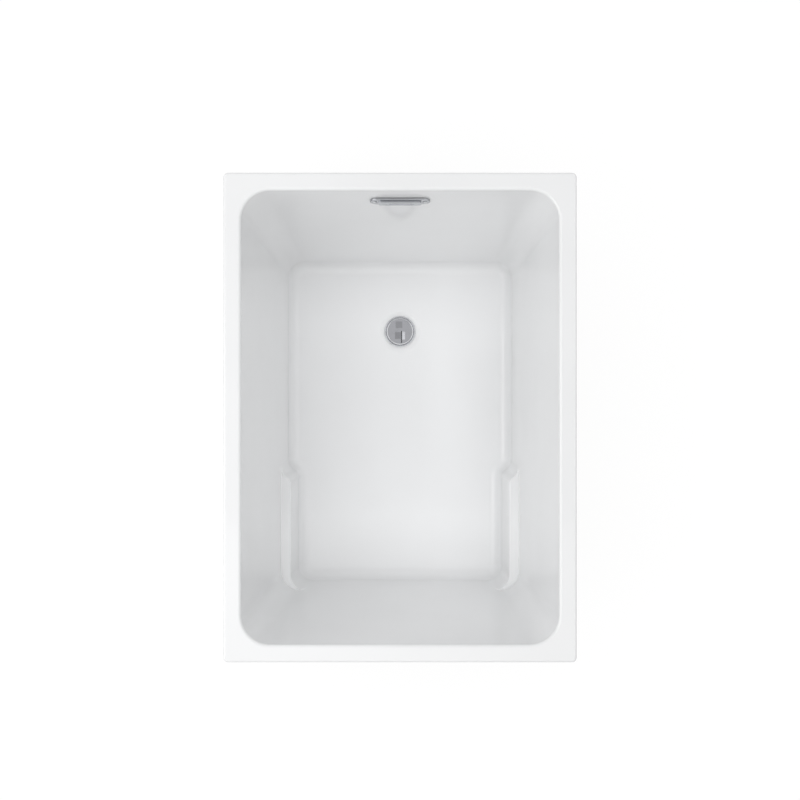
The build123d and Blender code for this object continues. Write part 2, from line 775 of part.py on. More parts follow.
# Stopper cap: a shallow mirror dome with a seal groove and a stem
seal_outer = seat_inner + seal_overlap
seal_inner = seal_outer - seal_width
seal_bottom = (
    seat_bottom + (seal_outer - seat_inner) * flange_seat_drop / (dish_radius - seat_inner) + seal_clearance
)
stem_bottom = post_bottom + post_floor + stem_end_gap
cap_top = cap_underside + cap_edge + cap_crown
with BuildPart() as stopper_cap:
    with BuildSketch(Plane.XZ):
        with BuildLine():
            Polyline(
                (0, stem_bottom), (stem_radius, stem_bottom), (stem_radius, cap_underside - cap_boss),
                (seal_inner, cap_underside - cap_boss), (seal_inner, cap_underside),
                (cap_radius - cap_chamfer, cap_underside), (cap_radius, cap_underside + cap_chamfer),
                (cap_radius, cap_underside + cap_edge),
            )
            crown_radius = (cap_radius**2 + cap_crown**2) / (2 * cap_crown)
            RadiusArc((cap_radius, cap_underside + cap_edge), (0, cap_top), -crown_radius)
            Line((0, cap_top), (0, stem_bottom))
        make_face()
    revolve(axis=Axis.Z)
cap = stopper_cap.part.moved(Location((0, drain_y, 0)))
cap.label = "stopper_cap"
export_step(cap, "parts/stopper_cap.step")

# Stopper seal, round the cap's boss
stopper_seal = ring(seal_outer, seal_inner, seal_bottom, cap_underside, 0, drain_y)
stopper_seal.label = "stopper_seal"
export_step(stopper_seal, "parts/stopper_seal.step")

# Waste body: socket on the flange's tube, outlet down to a trap, and a branch for the overflow hose
branch_end = drain_y + branch_length
socket_base = socket_floor_height - socket_step
outlet_top = outlet_height + outlet_length
outlet_cut_start = 0.8 * flange_tube_bore
branch_start = waste_neck_radius - branch_root_depth
with BuildPart() as waste_body:
    with BuildSketch(Plane.XZ):
        with BuildLine():
            Polyline(
                (flange_tube_bore, outlet_height), (outlet_radius, outlet_height),
                (outlet_radius, outlet_top), (waste_neck_radius, outlet_top),
                (waste_neck_radius, socket_base), (socket_radius, socket_base),
                (socket_radius, socket_floor_height + socket_depth),
                (flange_tube_radius, socket_floor_height + socket_depth),
                (flange_tube_radius, socket_floor_height), (flange_tube_bore, socket_floor_height),
                close=True,
            )
        make_face()
    revolve(axis=Axis.Z)
    with BuildSketch(Plane.XZ.offset(-branch_start)):
        with Locations((0, branch_height)):
            Circle(spigot_radius)
    extrude(amount=branch_start - branch_length)
    with BuildSketch(Plane.XZ.offset(-branch_start)):
        with Locations((0, branch_height)):
            Circle(spigot_radius + branch_root_wall)
    extrude(amount=branch_start - waste_neck_radius - branch_root_length)
    with BuildSketch(Plane.XZ.offset(-outlet_cut_start)):
        with Locations((0, branch_height)):
            Circle(spigot_bore)
    extrude(amount=-branch_length, mode=Mode.SUBTRACT)
waste = waste_body.part.moved(Location((0, drain_y, 0)))
waste.label = "waste_body"
export_step(waste, "parts/waste_body.step")

# Overflow gasket between the plate and the basin's wall
with BuildPart() as overflow_gasket:
    with BuildSketch(overflow_plane):
        SlotOverall(overflow_gasket_length, overflow_gasket_width)
        SlotOverall(slot_length, slot_width, mode=Mode.SUBTRACT)
        with GridLocations(overflow_screw_spacing, 0, 2, 1):
            Circle(screw_hole, mode=Mode.SUBTRACT)
    extrude(amount=overflow_gasket_thickness)
overflow_gasket.part.label = "overflow_gasket"
export_step(overflow_gasket.part, "parts/overflow_gasket.step")

# Overflow plate, with its window and countersunk screw holes
plate_face = overflow_gasket_thickness + plate_thickness
with BuildPart() as overflow_plate:
    with BuildSketch(overflow_plane.offset(overflow_gasket_thickness)):
        SlotOverall(plate_length, plate_width)
        SlotOverall(window_length, window_width, mode=Mode.SUBTRACT)
        with GridLocations(overflow_screw_spacing, 0, 2, 1):
            Circle(screw_hole, mode=Mode.SUBTRACT)
    extrude(amount=plate_thickness)
    rim_edges = overflow_plate.faces().sort_by(Axis((0, 0, 0), overflow_plane.z_dir))[-1].outer_wire()
    fillet(rim_edges.edges(), plate_edge_radius)
overflow_plate.part.label = "overflow_plate"
export_step(overflow_plate.part, "parts/overflow_plate.step")

# Overflow hood: a bar over the window, open along its lower edge
with BuildPart() as overflow_hood:
    with BuildSketch(overflow_plane.offset(plate_face)):
        RectangleRounded(hood_length, hood_width, hood_corner)
    extrude(amount=hood_depth)
    fillet(overflow_hood.faces().sort_by(Axis((0, 0, 0), overflow_plane.z_dir))[-1].edges(), hood_edge_radius)
    with BuildSketch(overflow_plane.offset(plate_face)):
        with Locations((0, -hood_wall)):
            Rectangle(hood_length - 4 * hood_wall, hood_width)
    extrude(amount=hood_depth - hood_wall, mode=Mode.SUBTRACT)
overflow_hood.part.label = "overflow_hood"
export_step(overflow_hood.part, "parts/overflow_hood.step")

# Overflow seal and body behind the wall
seal_face = -shell_thickness * math.cos(math.radians(wall_tilt))
with BuildPart() as overflow_seal:
    with BuildSketch(overflow_plane.offset(seal_face)):
        SlotOverall(overflow_body_length, overflow_body_width)
        SlotOverall(slot_length, slot_width, mode=Mode.SUBTRACT)
        with GridLocations(overflow_screw_spacing, 0, 2, 1):
            Circle(screw_hole, mode=Mode.SUBTRACT)
    extrude(amount=-gasket_thickness)
overflow_seal.part.label = "overflow_seal"
export_step(overflow_seal.part, "parts/overflow_seal.step")
body_face = seal_face - gasket_thickness
body_bottom = overflow_z - overflow_body_width / 2
spigot_bottom = body_bottom - overflow_spigot_length
with BuildPart() as overflow_body:
    with BuildSketch(overflow_plane.offset(body_face)):
        SlotOverall(overflow_body_length, overflow_body_width)
    extrude(amount=-overflow_body_depth)
    back_face = overflow_body.faces().sort_by(Axis((0, 0, 0), overflow_plane.z_dir))[0]
    fillet(back_face.edges(), overflow_body_edge)
    with BuildSketch(Plane.XY.offset(spigot_bottom)):
        with Locations((0, hose_y)):
            Circle(spigot_radius)
    extrude(amount=overflow_spigot_length + overflow_spigot_root)
    with BuildSketch(overflow_plane.offset(body_face)):
        SlotOverall(slot_length, overflow_body_width - 2 * overflow_body_wall)
    extrude(amount=-(overflow_body_depth - overflow_body_wall), mode=Mode.SUBTRACT)
    with BuildSketch(Plane.XY.offset(spigot_bottom)):
        with Locations((0, hose_y)):
            Circle(spigot_bore)
    extrude(amount=overflow_z - spigot_bottom, mode=Mode.SUBTRACT)
    with BuildSketch(overflow_plane.offset(body_face)):
        with GridLocations(overflow_screw_spacing, 0, 2, 1):
            Circle(screw_hole)
    extrude(amount=-overflow_screw_depth, mode=Mode.SUBTRACT)
overflow_body.part.label = "overflow_body"
export_step(overflow_body.part, "parts/overflow_body.step")

# Overflow screws, from the plate through the wall into the body
overflow_screw = screw(plate_face - body_face + screw_bite, head_height=overflow_screw_head_height)
with BuildPart() as overflow_screws:
    for x in (-overflow_screw_spacing / 2, overflow_screw_spacing / 2):
        with Locations(overflow_plane.offset(plate_face)):
            with Locations((x, 0, 0)):
                add(overflow_screw)
overflow_screws.part.label = "overflow_screws"
export_step(overflow_screws.part, "parts/overflow_screws.step")

# Overflow hose: down behind the end wall, round one bend and along to the waste body, ribbed between cuffs
hose_top = body_bottom - hose_top_gap
bend_start = branch_height + hose_bend_radius
bend_end = hose_y - hose_bend_radius
hose_end = branch_end - hose_cuff_length
fall = hose_top - bend_start
turn = hose_bend_radius * math.pi / 2
run = bend_end - hose_end
hose_length = fall + turn + run
print(f"hose length {hose_length:.1f} mm, bend radius {hose_bend_radius:.1f} mm")


def hose_plane(distance):
    # The plane square to the hose at a distance from its upper end, with X kept across the tub
    if distance <= fall:
        return Plane(origin=(0, hose_y, hose_top - distance), x_dir=(1, 0, 0), z_dir=(0, 0, -1))
    if distance <= fall + turn:
        angle = (distance - fall) / hose_bend_radius
        centre_y = hose_y - hose_bend_radius
        return Plane(
            origin=(
                0,
                centre_y + hose_bend_radius * math.cos(angle),
                bend_start - hose_bend_radius * math.sin(angle),
            ),
            x_dir=(1, 0, 0),
            z_dir=(0, -math.sin(angle), -math.cos(angle)),
        )
    past = distance - fall - turn
    return Plane(origin=(0, bend_end - past, branch_height), x_dir=(1, 0, 0), z_dir=(0, -1, 0))


rib_count = int((hose_length - 2 * hose_cuff_length) / hose_rib_pitch)
rib_pitch = (hose_length - 2 * hose_cuff_length) / rib_count
stations = [(0.0, hose_cuff_radius), (hose_cuff_length - hose_step, hose_cuff_radius)]
for number in range(rib_count):
    start = hose_cuff_length + number * rib_pitch
    stations += [
        (start, hose_valley_radius), (start + rib_rise * rib_pitch, hose_rib_radius),
        (start + rib_crest * rib_pitch, hose_rib_radius), (start + rib_fall * rib_pitch, hose_valley_radius),
    ]
cuff_start = hose_length - hose_cuff_length
stations += [(cuff_start + hose_step, hose_cuff_radius), (hose_length, hose_cuff_radius)]
with BuildPart() as overflow_hose:
    for distance, radius in stations:
        with BuildSketch(hose_plane(distance)):
            Circle(radius)
    loft(ruled=True)
    with BuildLine():
        Line((0, hose_y, hose_top), (0, hose_y, bend_start))
        TangentArc((0, hose_y, bend_start), (0, bend_end, branch_height), tangent=(0, 0, -1))
        Line((0, bend_end, branch_height), (0, hose_end, branch_height))
    with BuildSketch(hose_plane(0.0)):
        Circle(hose_bore)
    sweep(mode=Mode.SUBTRACT)
overflow_hose.part.label = "overflow_hose"
export_step(overflow_hose.part, "parts/overflow_hose.step")

# Hose clamps, one on each cuff
for name, distance in (("upper", hose_cuff_length / 2), ("lower", hose_length - hose_cuff_length / 2)):
    with BuildPart() as clamp:
        with BuildSketch(hose_plane(distance - clamp_width / 2)):
            Circle(hose_cuff_radius + clamp_thickness)
            with Locations((hose_cuff_radius + clamp_screw_block[1] / 2, 0)):
                RectangleRounded(clamp_screw_block[1], clamp_screw_block[0], clamp_block_corner)
            Circle(hose_cuff_radius, mode=Mode.SUBTRACT)
        extrude(amount=clamp_width)
    clamp.part.label = f"hose_clamp_{name}"
    export_step(clamp.part, f"parts/hose_clamp_{name}.step")
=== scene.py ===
"""Alcove bathtub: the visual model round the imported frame, laid out as an add-on and run as a script."""

import json
import math

import bmesh
import bpy
import numpy as np
from mathutils import Matrix, Vector


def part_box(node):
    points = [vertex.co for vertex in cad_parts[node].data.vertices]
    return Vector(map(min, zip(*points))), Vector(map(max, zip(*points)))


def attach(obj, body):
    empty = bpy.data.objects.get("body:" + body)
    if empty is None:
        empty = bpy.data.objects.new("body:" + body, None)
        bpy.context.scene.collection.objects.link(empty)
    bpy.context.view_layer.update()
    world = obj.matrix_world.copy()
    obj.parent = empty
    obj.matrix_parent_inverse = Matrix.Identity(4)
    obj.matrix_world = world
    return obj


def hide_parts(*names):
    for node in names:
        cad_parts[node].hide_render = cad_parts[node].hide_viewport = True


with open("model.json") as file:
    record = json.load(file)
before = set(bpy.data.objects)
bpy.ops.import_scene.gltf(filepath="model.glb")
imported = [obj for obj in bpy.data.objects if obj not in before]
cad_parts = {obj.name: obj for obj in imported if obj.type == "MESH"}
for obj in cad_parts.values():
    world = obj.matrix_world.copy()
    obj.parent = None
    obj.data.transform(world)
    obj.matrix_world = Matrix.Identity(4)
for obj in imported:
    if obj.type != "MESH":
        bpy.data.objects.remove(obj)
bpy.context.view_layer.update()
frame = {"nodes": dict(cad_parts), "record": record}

bl_info = {
    "name": "Alcove bathtub",
    "version": (1, 0, 0),
    "blender": (4, 5, 0),
    "location": "3D View > Sidebar > Bathtub",
    "description": "Acrylic alcove tub with its apron, frame, waste and overflow",
    "category": "Object",
}

NODES = frame["nodes"]
TUB_LOW, TUB_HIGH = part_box("tub_shell")
FLANGE_LOW, FLANGE_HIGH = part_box("drain_flange")
CAP_LOW, CAP_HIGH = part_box("stopper_cap")
PLATE_LOW, PLATE_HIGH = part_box("overflow_plate")
BOARD_LOW, BOARD_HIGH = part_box("base_board")
DRAIN_Y = (FLANGE_LOW.y + FLANGE_HIGH.y) / 2
BODIES = frame["record"]["behaviour"]["bodies"]
BODY_OF = {node: body for body, members in BODIES.items() for node in members}
SLOT_OF = {entry["node"]: entry["material_slot"] for entry in frame["record"]["subparts"]}

# Side of the square picture that the camera is set for, in pixels, and width of its sensor in millimetres
FRAME = 800
SENSOR = 36.0

# Distances below which points are one and the same, in metres
CAD_MERGE = 2e-6
LATHE_MERGE = 1e-7
SHELL_MERGE = 1e-6


def length(name, default, description):
    return bpy.props.FloatProperty(
        name=name, default=default, description=description, unit="LENGTH", precision=4
    )


def colour(name, default, description):
    return bpy.props.FloatVectorProperty(
        name=name, default=default, description=description, subtype="COLOR", size=3, min=0.0, max=1.0
    )


def strength(name, default, description):
    return bpy.props.FloatProperty(name=name, default=default, description=description, min=0.0)


class TubSizes(bpy.types.PropertyGroup):
    """Sizes of the shell, in metres"""

    width: length("Width", TUB_HIGH.x - TUB_LOW.x, "Outside width of the rim")
    length: length("Length", TUB_HIGH.y - TUB_LOW.y, "Outside length of the rim")
    height: length("Height", TUB_HIGH.z, "Height of the rim above the building's floor")
    rim: length("Rim", 0.032, "Width of the flat rim all round")
    rim_corner: length("Rim corner", 0.009, "Plan radius of the rim's outer corners")
    rim_edge: length("Rim edge", 0.0045, "Radius of the rim's outer edge")
    lip: length("Lip", 0.006, "Radius where the rim turns down into the basin")
    skirt: length("Skirt", 0.035, "Depth of the rim's turned-down skirt")
    thickness: length("Thickness", 0.005, "Thickness of the shell")
    floor_height: length("Floor height", BOARD_HIGH.z + 0.005, "Height of the basin's floor")
    floor_width: length("Floor width", 0.490, "Width at the foot of the walls")
    floor_length: length("Floor length", 0.700, "Length at the foot of the walls")
    opening_corner: length("Opening corner", 0.055, "Plan radius of the basin's corners at the rim")
    floor_corner: length("Floor corner", 0.038, "Plan radius of the basin's corners at the floor")
    floor_fillet: length("Floor fillet", 0.027, "Radius between the walls and the floor")
    ledge_rise: length("Ledge rise", 0.110, "Height of the seat supports above the floor")
    ledge_width: length("Ledge width", 0.020, "Width of the seat supports' tops")
    ledge_length: length("Ledge length", 0.236, "Length of the seat supports from the end wall")
    ledge_face: length("Ledge face", 0.013, "Slope of the seat supports' faces over their rise")
    ledge_end: length("Ledge end", 0.017, "Slope of the seat supports' ends over their rise")
    ledge_seat_corner: length("Ledge corner", 0.033, "Plan radius of the seat supports at the end wall")
    ledge_nose: length("Ledge nose", 0.018, "Plan radius at the seat supports' free ends")
    ledge_step: length("Ledge step", 0.032, "Plan radius where the seat supports meet the wall")
    drain_y: length("Drain", DRAIN_Y, "Distance of the drain from the middle")
    recess_outer: length("Recess", 0.044, "Radius of the shallow recess round the drain")
    recess_inner: length("Recess floor", 0.038, "Radius of the recess's flat")
    recess_depth: length("Recess depth", 0.002, "Depth of the recess round the drain")
    drain_hole: length("Drain hole", 0.024, "Radius of the hole for the drain")
    overflow_half: length("Overflow slot", 0.030, "Half the length of the overflow slot's straight part")
    overflow_radius: length("Overflow slot radius", 0.007, "Radius of the overflow slot's ends")
    overflow_screw: length("Overflow screws", 0.047, "Distance of the overflow's screws from its middle")
    screw_hole: length("Screw hole", 0.0023, "Radius of the holes for the overflow's screws")


class TubColours(bpy.types.PropertyGroup):
    """Colours of the finishes"""

    acrylic: colour("Acrylic", (0.915, 0.92, 0.925), "Cast acrylic of the shell and the apron")
    resin: colour("Resin", (0.70, 0.69, 0.63), "Glass fibre and resin behind the acrylic")
    timber: colour("Timber", (0.56, 0.38, 0.20), "Battens under the rim")
    plywood: colour("Plywood", (0.55, 0.38, 0.22), "Board under the basin")
    paint: colour("Paint", (0.075, 0.085, 0.095), "Powder coat on the steel frame")
    zinc: colour("Zinc", (0.60, 0.61, 0.62), "Zinc plate on screws, stems and nuts")
    chrome: colour("Chrome", (0.80, 0.81, 0.83), "Chrome plate of the drain and the stopper")
    # Satin chrome is the chrome with a darker colour: painted shade for the dimmer reflections on the
    # overflow's plate and hood
    satin_chrome: colour("Satin chrome", (0.50, 0.51, 0.53), "Satin plate of the overflow")
    brass: colour("Brass", (0.62, 0.46, 0.20), "Turned brass of the stopper's post")
    rubber: colour("Rubber", (0.022, 0.022, 0.024), "Gaskets and the stopper's seal")
    black_plastic: colour("Black plastic", (0.028, 0.029, 0.031), "Pads of the feet and end caps")
    white_plastic: colour("White plastic", (0.74, 0.74, 0.72), "Waste and overflow bodies")
    hose_plastic: colour("Hose plastic", (0.36, 0.37, 0.39), "Ribbed overflow hose")


class StageSettings(bpy.types.PropertyGroup):
    """Camera and studio"""

    camera_height: length("Camera height", 2.28, "Height of the camera above the rim")
    camera_y: length("Camera offset", -0.036, "Distance of the camera from the middle, towards the drain end")
    lens: bpy.props.FloatProperty(name="Lens", default=55.9, description="Focal length on a 36 mm sensor")
    centre_row: bpy.props.FloatProperty(
        name="Centre row", default=417.5, description="Row of the picture that the tub's middle falls on"
    )
    daylight: strength("Daylight", 0.45, "Strength of the studio's even light")
    overhead: strength("Overhead", 92.0, "Power of the large soft light above the camera")
    left: strength("Left", 10.0, "Power of the soft light on the apron side")


class Field:
    """A shader socket that can be used in arithmetic"""

    def __init__(self, nodes, socket):
        self.nodes = nodes
        self.socket = socket

    def _math(self, operation, first, second):
        return self.nodes.make("ShaderNodeMath", {"operation": operation}, {0: first, 1: second})

    def __add__(self, other):
        return self._math("ADD", self, other)

    def __radd__(self, other):
        return self._math("ADD", other, self)

    def __sub__(self, other):
        return self._math("SUBTRACT", self, other)

    def __rsub__(self, other):
        return self._math("SUBTRACT", other, self)

    def __mul__(self, other):
        return self._math("MULTIPLY", self, other)

    def __rmul__(self, other):
        return self._math("MULTIPLY", other, self)

    def __truediv__(self, other):
        return self._math("DIVIDE", self, other)

    def __rtruediv__(self, other):
        return self._math("DIVIDE", other, self)

    def larger(self, other):
        return self._math("MAXIMUM", self, other)

    def smooth(self, low, high):
        settings = {"interpolation_type": "SMOOTHSTEP"}
        values = {"Value": self, "From Min": low, "From Max": high}
        return self.nodes.make("ShaderNodeMapRange", settings, values)


class Shading:
    """A node tree of a material or a world, and the one way its nodes are made"""

    def __init__(self, owner, end):
        owner.use_nodes = True
        self.tree = owner.node_tree
        self.tree.nodes.clear()
        self.output = self.tree.nodes.new(end)

    def make(self, kind, settings=None, values=None, output=0):
        node = self.tree.nodes.new(kind)
        for key, value in (settings or {}).items():
            setattr(node, key, value)
        for key, value in (values or {}).items():
            if isinstance(value, Field):
                self.tree.links.new(value.socket, node.inputs[key])
            else:
                node.inputs[key].default_value = value
        return Field(self, node.outputs[output])

    def ends_in(self, shader):
        self.tree.links.new(shader.socket, self.output.inputs["Surface"])

    def seen(self):
        """1 for what the camera, a mirror or glass sees, 0 for what lights the object"""
        rays = ("Is Camera Ray", "Is Glossy Ray", "Is Transmission Ray")
        camera, glossy, through = (self.make("ShaderNodeLightPath", output=ray) for ray in rays)
        return camera.larger(glossy.larger(through))


class Finish(Shading):
    """One material and the nodes in it"""

    def __init__(self, name):
        self.material = bpy.data.materials.new(name)
        super().__init__(self.material, "ShaderNodeOutputMaterial")

    def place(self, scale=(1, 1, 1), turn=(0, 0, 0), shift=(0, 0, 0)):
        point = self.make("ShaderNodeTexCoord", output=3)
        values = {"Vector": point, "Scale": scale, "Rotation": turn, "Location": shift}
        return self.make("ShaderNodeMapping", {}, values)

    def noise(self, vector, scale, detail=3.0, rough=0.5):
        values = {"Vector": vector, "Scale": scale, "Detail": detail, "Roughness": rough}
        return self.make("ShaderNodeTexNoise", {}, values)

    def axis(self, vector, name):
        return self.make("ShaderNodeSeparateXYZ", {}, {0: vector}, output="XYZ".index(name))

    def mix(self, share, first, second):
        settings = {"data_type": "RGBA"}
        return self.make("ShaderNodeMix", settings, {0: share, 6: first, 7: second}, output=2)

    def bump(self, height, strength, distance, under=None):
        values = {"Height": height, "Strength": strength, "Distance": distance}
        if under is not None:
            values["Normal"] = under
        return self.make("ShaderNodeBump", {}, values)

    def surface(self, values):
        self.ends_in(self.make("ShaderNodeBsdfPrincipled", {}, values))


def rgba(values, gain=1.0):
    """A colour for a socket, brighter or darker by the gain"""
    return (*(min(value * gain, 1.0) for value in values), 1.0)


def acrylic_finish(colours):
    finish = Finish("gloss_acrylic")
    point = finish.place()
    cloud = finish.noise(point, 3.0, 2.0)
    fine = finish.noise(point, 240.0, 3.0, 0.6)
    wave = finish.noise(point, 9.0, 1.0)
    tone = finish.mix(cloud.smooth(0.35, 0.68), rgba(colours.acrylic, 0.985), rgba(colours.acrylic, 1.012))
    finish.surface({
        "Base Color": tone,
        "Roughness": 0.075 + fine * 0.05,
        "IOR": 1.49,
        "Specular IOR Level": 0.5,
        "Coat Weight": 0.35,
        "Coat Roughness": 0.03,
        "Normal": finish.bump(wave, 0.16, 0.0016, finish.bump(fine, 0.05, 0.00008)),
    })
    return finish.material


def resin_finish(colours):
    finish = Finish("fibre_resin")
    point = finish.place()
    strands = None
    for turn, stretch in ((0.35, 1.0), (1.45, 1.1), (2.6, 0.9)):
        lay = finish.place(scale=(900 * stretch, 60, 260), turn=(turn, turn * 0.6, turn))
        streak = finish.noise(lay, 1.0, 2.0, 0.55).smooth(0.56, 0.68)
        strands = streak if strands is None else strands + streak
    lumps = finish.noise(point, 28.0, 4.0, 0.6)
    wet = finish.noise(point, 7.0, 2.0).smooth(0.4, 0.62)
    tone = finish.mix(strands * 0.4, rgba(colours.resin, 0.86), rgba(colours.resin, 1.18))
    tone = finish.mix(wet * 0.35, tone, rgba((0.80, 0.80, 0.77)))
    relief = finish.bump(lumps, 0.7, 0.0022, finish.bump(strands, 0.5, 0.0005))
    finish.surface({"Base Color": tone, "Roughness": 0.34 + lumps * 0.3, "Normal": relief})
    return finish.material


def timber_finish(colours, name, along):
    """Planed softwood with its grain along one axis"""
    finish = Finish(name)
    across = {"X": (7.0, 150.0, 150.0), "Y": (150.0, 7.0, 150.0)}[along]
    grain = finish.noise(finish.place(scale=across), 1.0, 4.0, 0.62)
    rings_place = finish.place(scale={"X": (1.4, 60.0, 60.0), "Y": (60.0, 1.4, 60.0)}[along])
    values = {"Vector": rings_place, "Scale": 0.9, "Distortion": 5.5, "Detail": 3.0, "Detail Scale": 0.8}
    rings = finish.make("ShaderNodeTexWave", {"wave_type": "BANDS", "bands_direction": "Z"}, values, output=1)
    late = rings.smooth(0.45, 0.95)
    tone = finish.mix(late, rgba(colours.timber, 1.22), rgba(colours.timber, 0.68))
    tone = finish.mix(grain.smooth(0.3, 0.8) * 0.5, tone, rgba(colours.timber, 1.05))
    relief = finish.bump(grain, 0.35, 0.0004, finish.bump(late, 0.25, 0.0003))
    finish.surface({"Base Color": tone, "Roughness": 0.58 + grain * 0.2, "Normal": relief})
    return finish.material


def plywood_finish(colours):
    finish = Finish("plywood")
    layers = 7.0
    point = finish.place()
    face = finish.noise(finish.place(scale=(80.0, 5.0, 80.0)), 1.0, 4.0, 0.6)
    height = (finish.axis(point, "Z") - BOARD_LOW.z) / (BOARD_HIGH.z - BOARD_LOW.z)
    plies = finish.make("ShaderNodeMath", {"operation": "PINGPONG"}, {0: height * layers, 1: 1.0})
    edge = finish.axis(finish.make("ShaderNodeNewGeometry", output=1), "Z")
    flat = (edge * edge).smooth(0.4, 0.8)
    bands = finish.mix(plies.smooth(0.35, 0.6), rgba(colours.plywood, 1.2), rgba(colours.plywood, 0.62))
    faces = finish.mix(face.smooth(0.35, 0.75), rgba(colours.plywood, 1.15), rgba(colours.plywood, 0.8))
    fibre = finish.noise(point, 420.0, 3.0)
    finish.surface({
        "Base Color": finish.mix(flat, bands, faces),
        "Roughness": 0.62 + fibre * 0.2,
        "Normal": finish.bump(fibre, 0.4, 0.0003),
    })
    return finish.material


def paint_finish(colours):
    finish = Finish("powder_coat")
    point = finish.place()
    peel = finish.noise(point, 700.0, 2.0)
    dust = finish.noise(point, 11.0, 4.0, 0.65).smooth(0.45, 0.75)
    finish.surface({
        "Base Color": finish.mix(dust * 0.35, rgba(colours.paint), rgba(colours.paint, 1.7)),
        "Roughness": 0.36 + dust * 0.16,
        "Normal": finish.bump(peel, 0.3, 0.00018),
    })
    return finish.material


def zinc_finish(colours):
    finish = Finish("zinc_plate")
    point = finish.place()
    cloud = finish.noise(point, 90.0, 3.0)
    tone = finish.mix(cloud.smooth(0.3, 0.7), rgba(colours.zinc, 0.86), rgba(colours.zinc, 1.1))
    finish.surface({
        "Base Color": tone,
        "Metallic": 1.0,
        "Roughness": 0.26 + cloud * 0.2,
        "Normal": finish.bump(finish.noise(point, 900.0, 2.0), 0.15, 0.0001),
    })
    return finish.material


def chrome_finish(name, shade, rough):
    finish = Finish(name)
    point = finish.place()
    film = finish.noise(point, 60.0, 4.0, 0.6).smooth(0.45, 0.8)
    finish.surface({
        "Base Color": finish.mix(film, rgba(shade), rgba(shade, 0.94)),
        "Metallic": 1.0,
        "Roughness": rough + film * 0.06,
        "Normal": finish.bump(finish.noise(point, 30.0, 1.0), 0.03, 0.0004),
    })
    return finish.material


def brass_finish(colours):
    finish = Finish("turned_brass")
    point = finish.place(shift=(0, -DRAIN_Y, 0))
    turned = finish.noise(finish.place(scale=(40.0, 40.0, 2600.0)), 1.0, 2.0)
    stain = finish.noise(point, 120.0, 3.0)
    finish.surface({
        "Base Color": finish.mix(stain.smooth(0.4, 0.75), rgba(colours.brass), rgba(colours.brass, 0.75)),
        "Metallic": 1.0,
        "Roughness": 0.24 + stain * 0.18,
        "Normal": finish.bump(turned, 0.2, 0.0001),
    })
    return finish.material


def moulded_finish(name, shade, rough, grain_size, grain_depth):
    """Moulded plastic, rubber or enamel with a fine grain"""
    finish = Finish(name)
    point = finish.place()
    grain = finish.noise(point, 1.0 / grain_size, 3.0, 0.6)
    cloud = finish.noise(point, 14.0, 2.0)
    finish.surface({
        "Base Color": finish.mix(cloud.smooth(0.35, 0.7), rgba(shade, 0.93), rgba(shade, 1.06)),
        "Roughness": rough + grain * 0.16,
        "Normal": finish.bump(grain, 0.35, grain_depth),
    })
    return finish.material


# Maker of each finish that has one colour of its own, with what it takes after the colours
PLAIN = {
    "white_acrylic": (acrylic_finish,),
    "resin": (resin_finish,),
    "plywood": (plywood_finish,),
    "timber": (timber_finish, "timber_long", "Y"),
    "timber_cross": (timber_finish, "timber_cross", "X"),
    "painted_steel": (paint_finish,),
    "zinc_steel": (zinc_finish,),
    "brass": (brass_finish,),
}

# Maker of each finish that comes in several colours, with its name, its colour and the rest it takes
TINTED = {
    "chrome": (chrome_finish, "chrome_plate", "chrome", 0.035),
    # The satin chrome's darker colour is painted shade on the overflow's reflections; its higher roughness is
    # the real satin finish
    "satin_chrome": (chrome_finish, "satin_plate", "satin_chrome", 0.11),
    "apron_screw_steel": (moulded_finish, "white_enamel", "white_plastic", 0.22, 0.002, 0.00003),
    "black_plastic": (moulded_finish, "black_plastic", "black_plastic", 0.42, 0.0006, 0.00012),
    "rubber": (moulded_finish, "rubber", "rubber", 0.6, 0.0009, 0.00012),
    "white_plastic": (moulded_finish, "white_plastic", "white_plastic", 0.34, 0.0012, 0.00006),
    "hose_plastic": (moulded_finish, "hose_plastic", "hose_plastic", 0.38, 0.0014, 0.00006),
}
MADE = {}


def finish_for(slot):
    """The material that stands for a slot, made when it is first asked for"""
    if slot not in MADE:
        colours = bpy.context.scene.tub_colours
        if slot in PLAIN:
            maker, *rest = PLAIN[slot]
            MADE[slot] = maker(colours, *rest)
        else:
            maker, name, shade, *rest = TINTED[slot]
            MADE[slot] = maker(name, getattr(colours, shade), *rest)
    return MADE[slot]


def new_object(name, points, faces):
    """A piece from its points and faces"""
    mesh = bpy.data.meshes.new(name)
    mesh.from_pydata([tuple(p) for p in points], [], [tuple(f) for f in faces])
    mesh.update()
    return placed(name, mesh)


def placed(name, data):
    """An object in the scene that holds the data"""
    made = bpy.data.objects.new(name, data)
    bpy.context.scene.collection.objects.link(made)
    return made


def from_shape(name, shape):
    """A piece from a shape that is being edited, which ends there"""
    mesh = bpy.data.meshes.new(name)
    shape.to_mesh(mesh)
    shape.free()
    return placed(name, mesh)


def closed(piece, distance):
    """Merges a piece's doubled points and turns its faces outwards"""
    shape = bmesh.new()
    shape.from_mesh(piece.data)
    bmesh.ops.remove_doubles(shape, verts=shape.verts, dist=distance)
    bmesh.ops.recalc_face_normals(shape, faces=shape.faces)
    shape.to_mesh(piece.data)
    shape.free()
    return piece


def baked(piece):
    """Applies the piece's modifiers to its mesh"""
    bpy.context.view_layer.update()
    graph = bpy.context.evaluated_depsgraph_get()
    mesh = bpy.data.meshes.new_from_object(piece.evaluated_get(graph), depsgraph=graph)
    mesh.name = piece.name
    piece.modifiers.clear()
    piece.data = mesh
    return piece


def eased(piece, width, degrees):
    """Rounds the piece's edges that are sharper than the angle"""
    bevel = piece.modifiers.new("eased", "BEVEL")
    bevel.width = width
    bevel.segments = 2
    bevel.limit_method = "ANGLE"
    bevel.angle_limit = math.radians(degrees)
    return baked(piece)


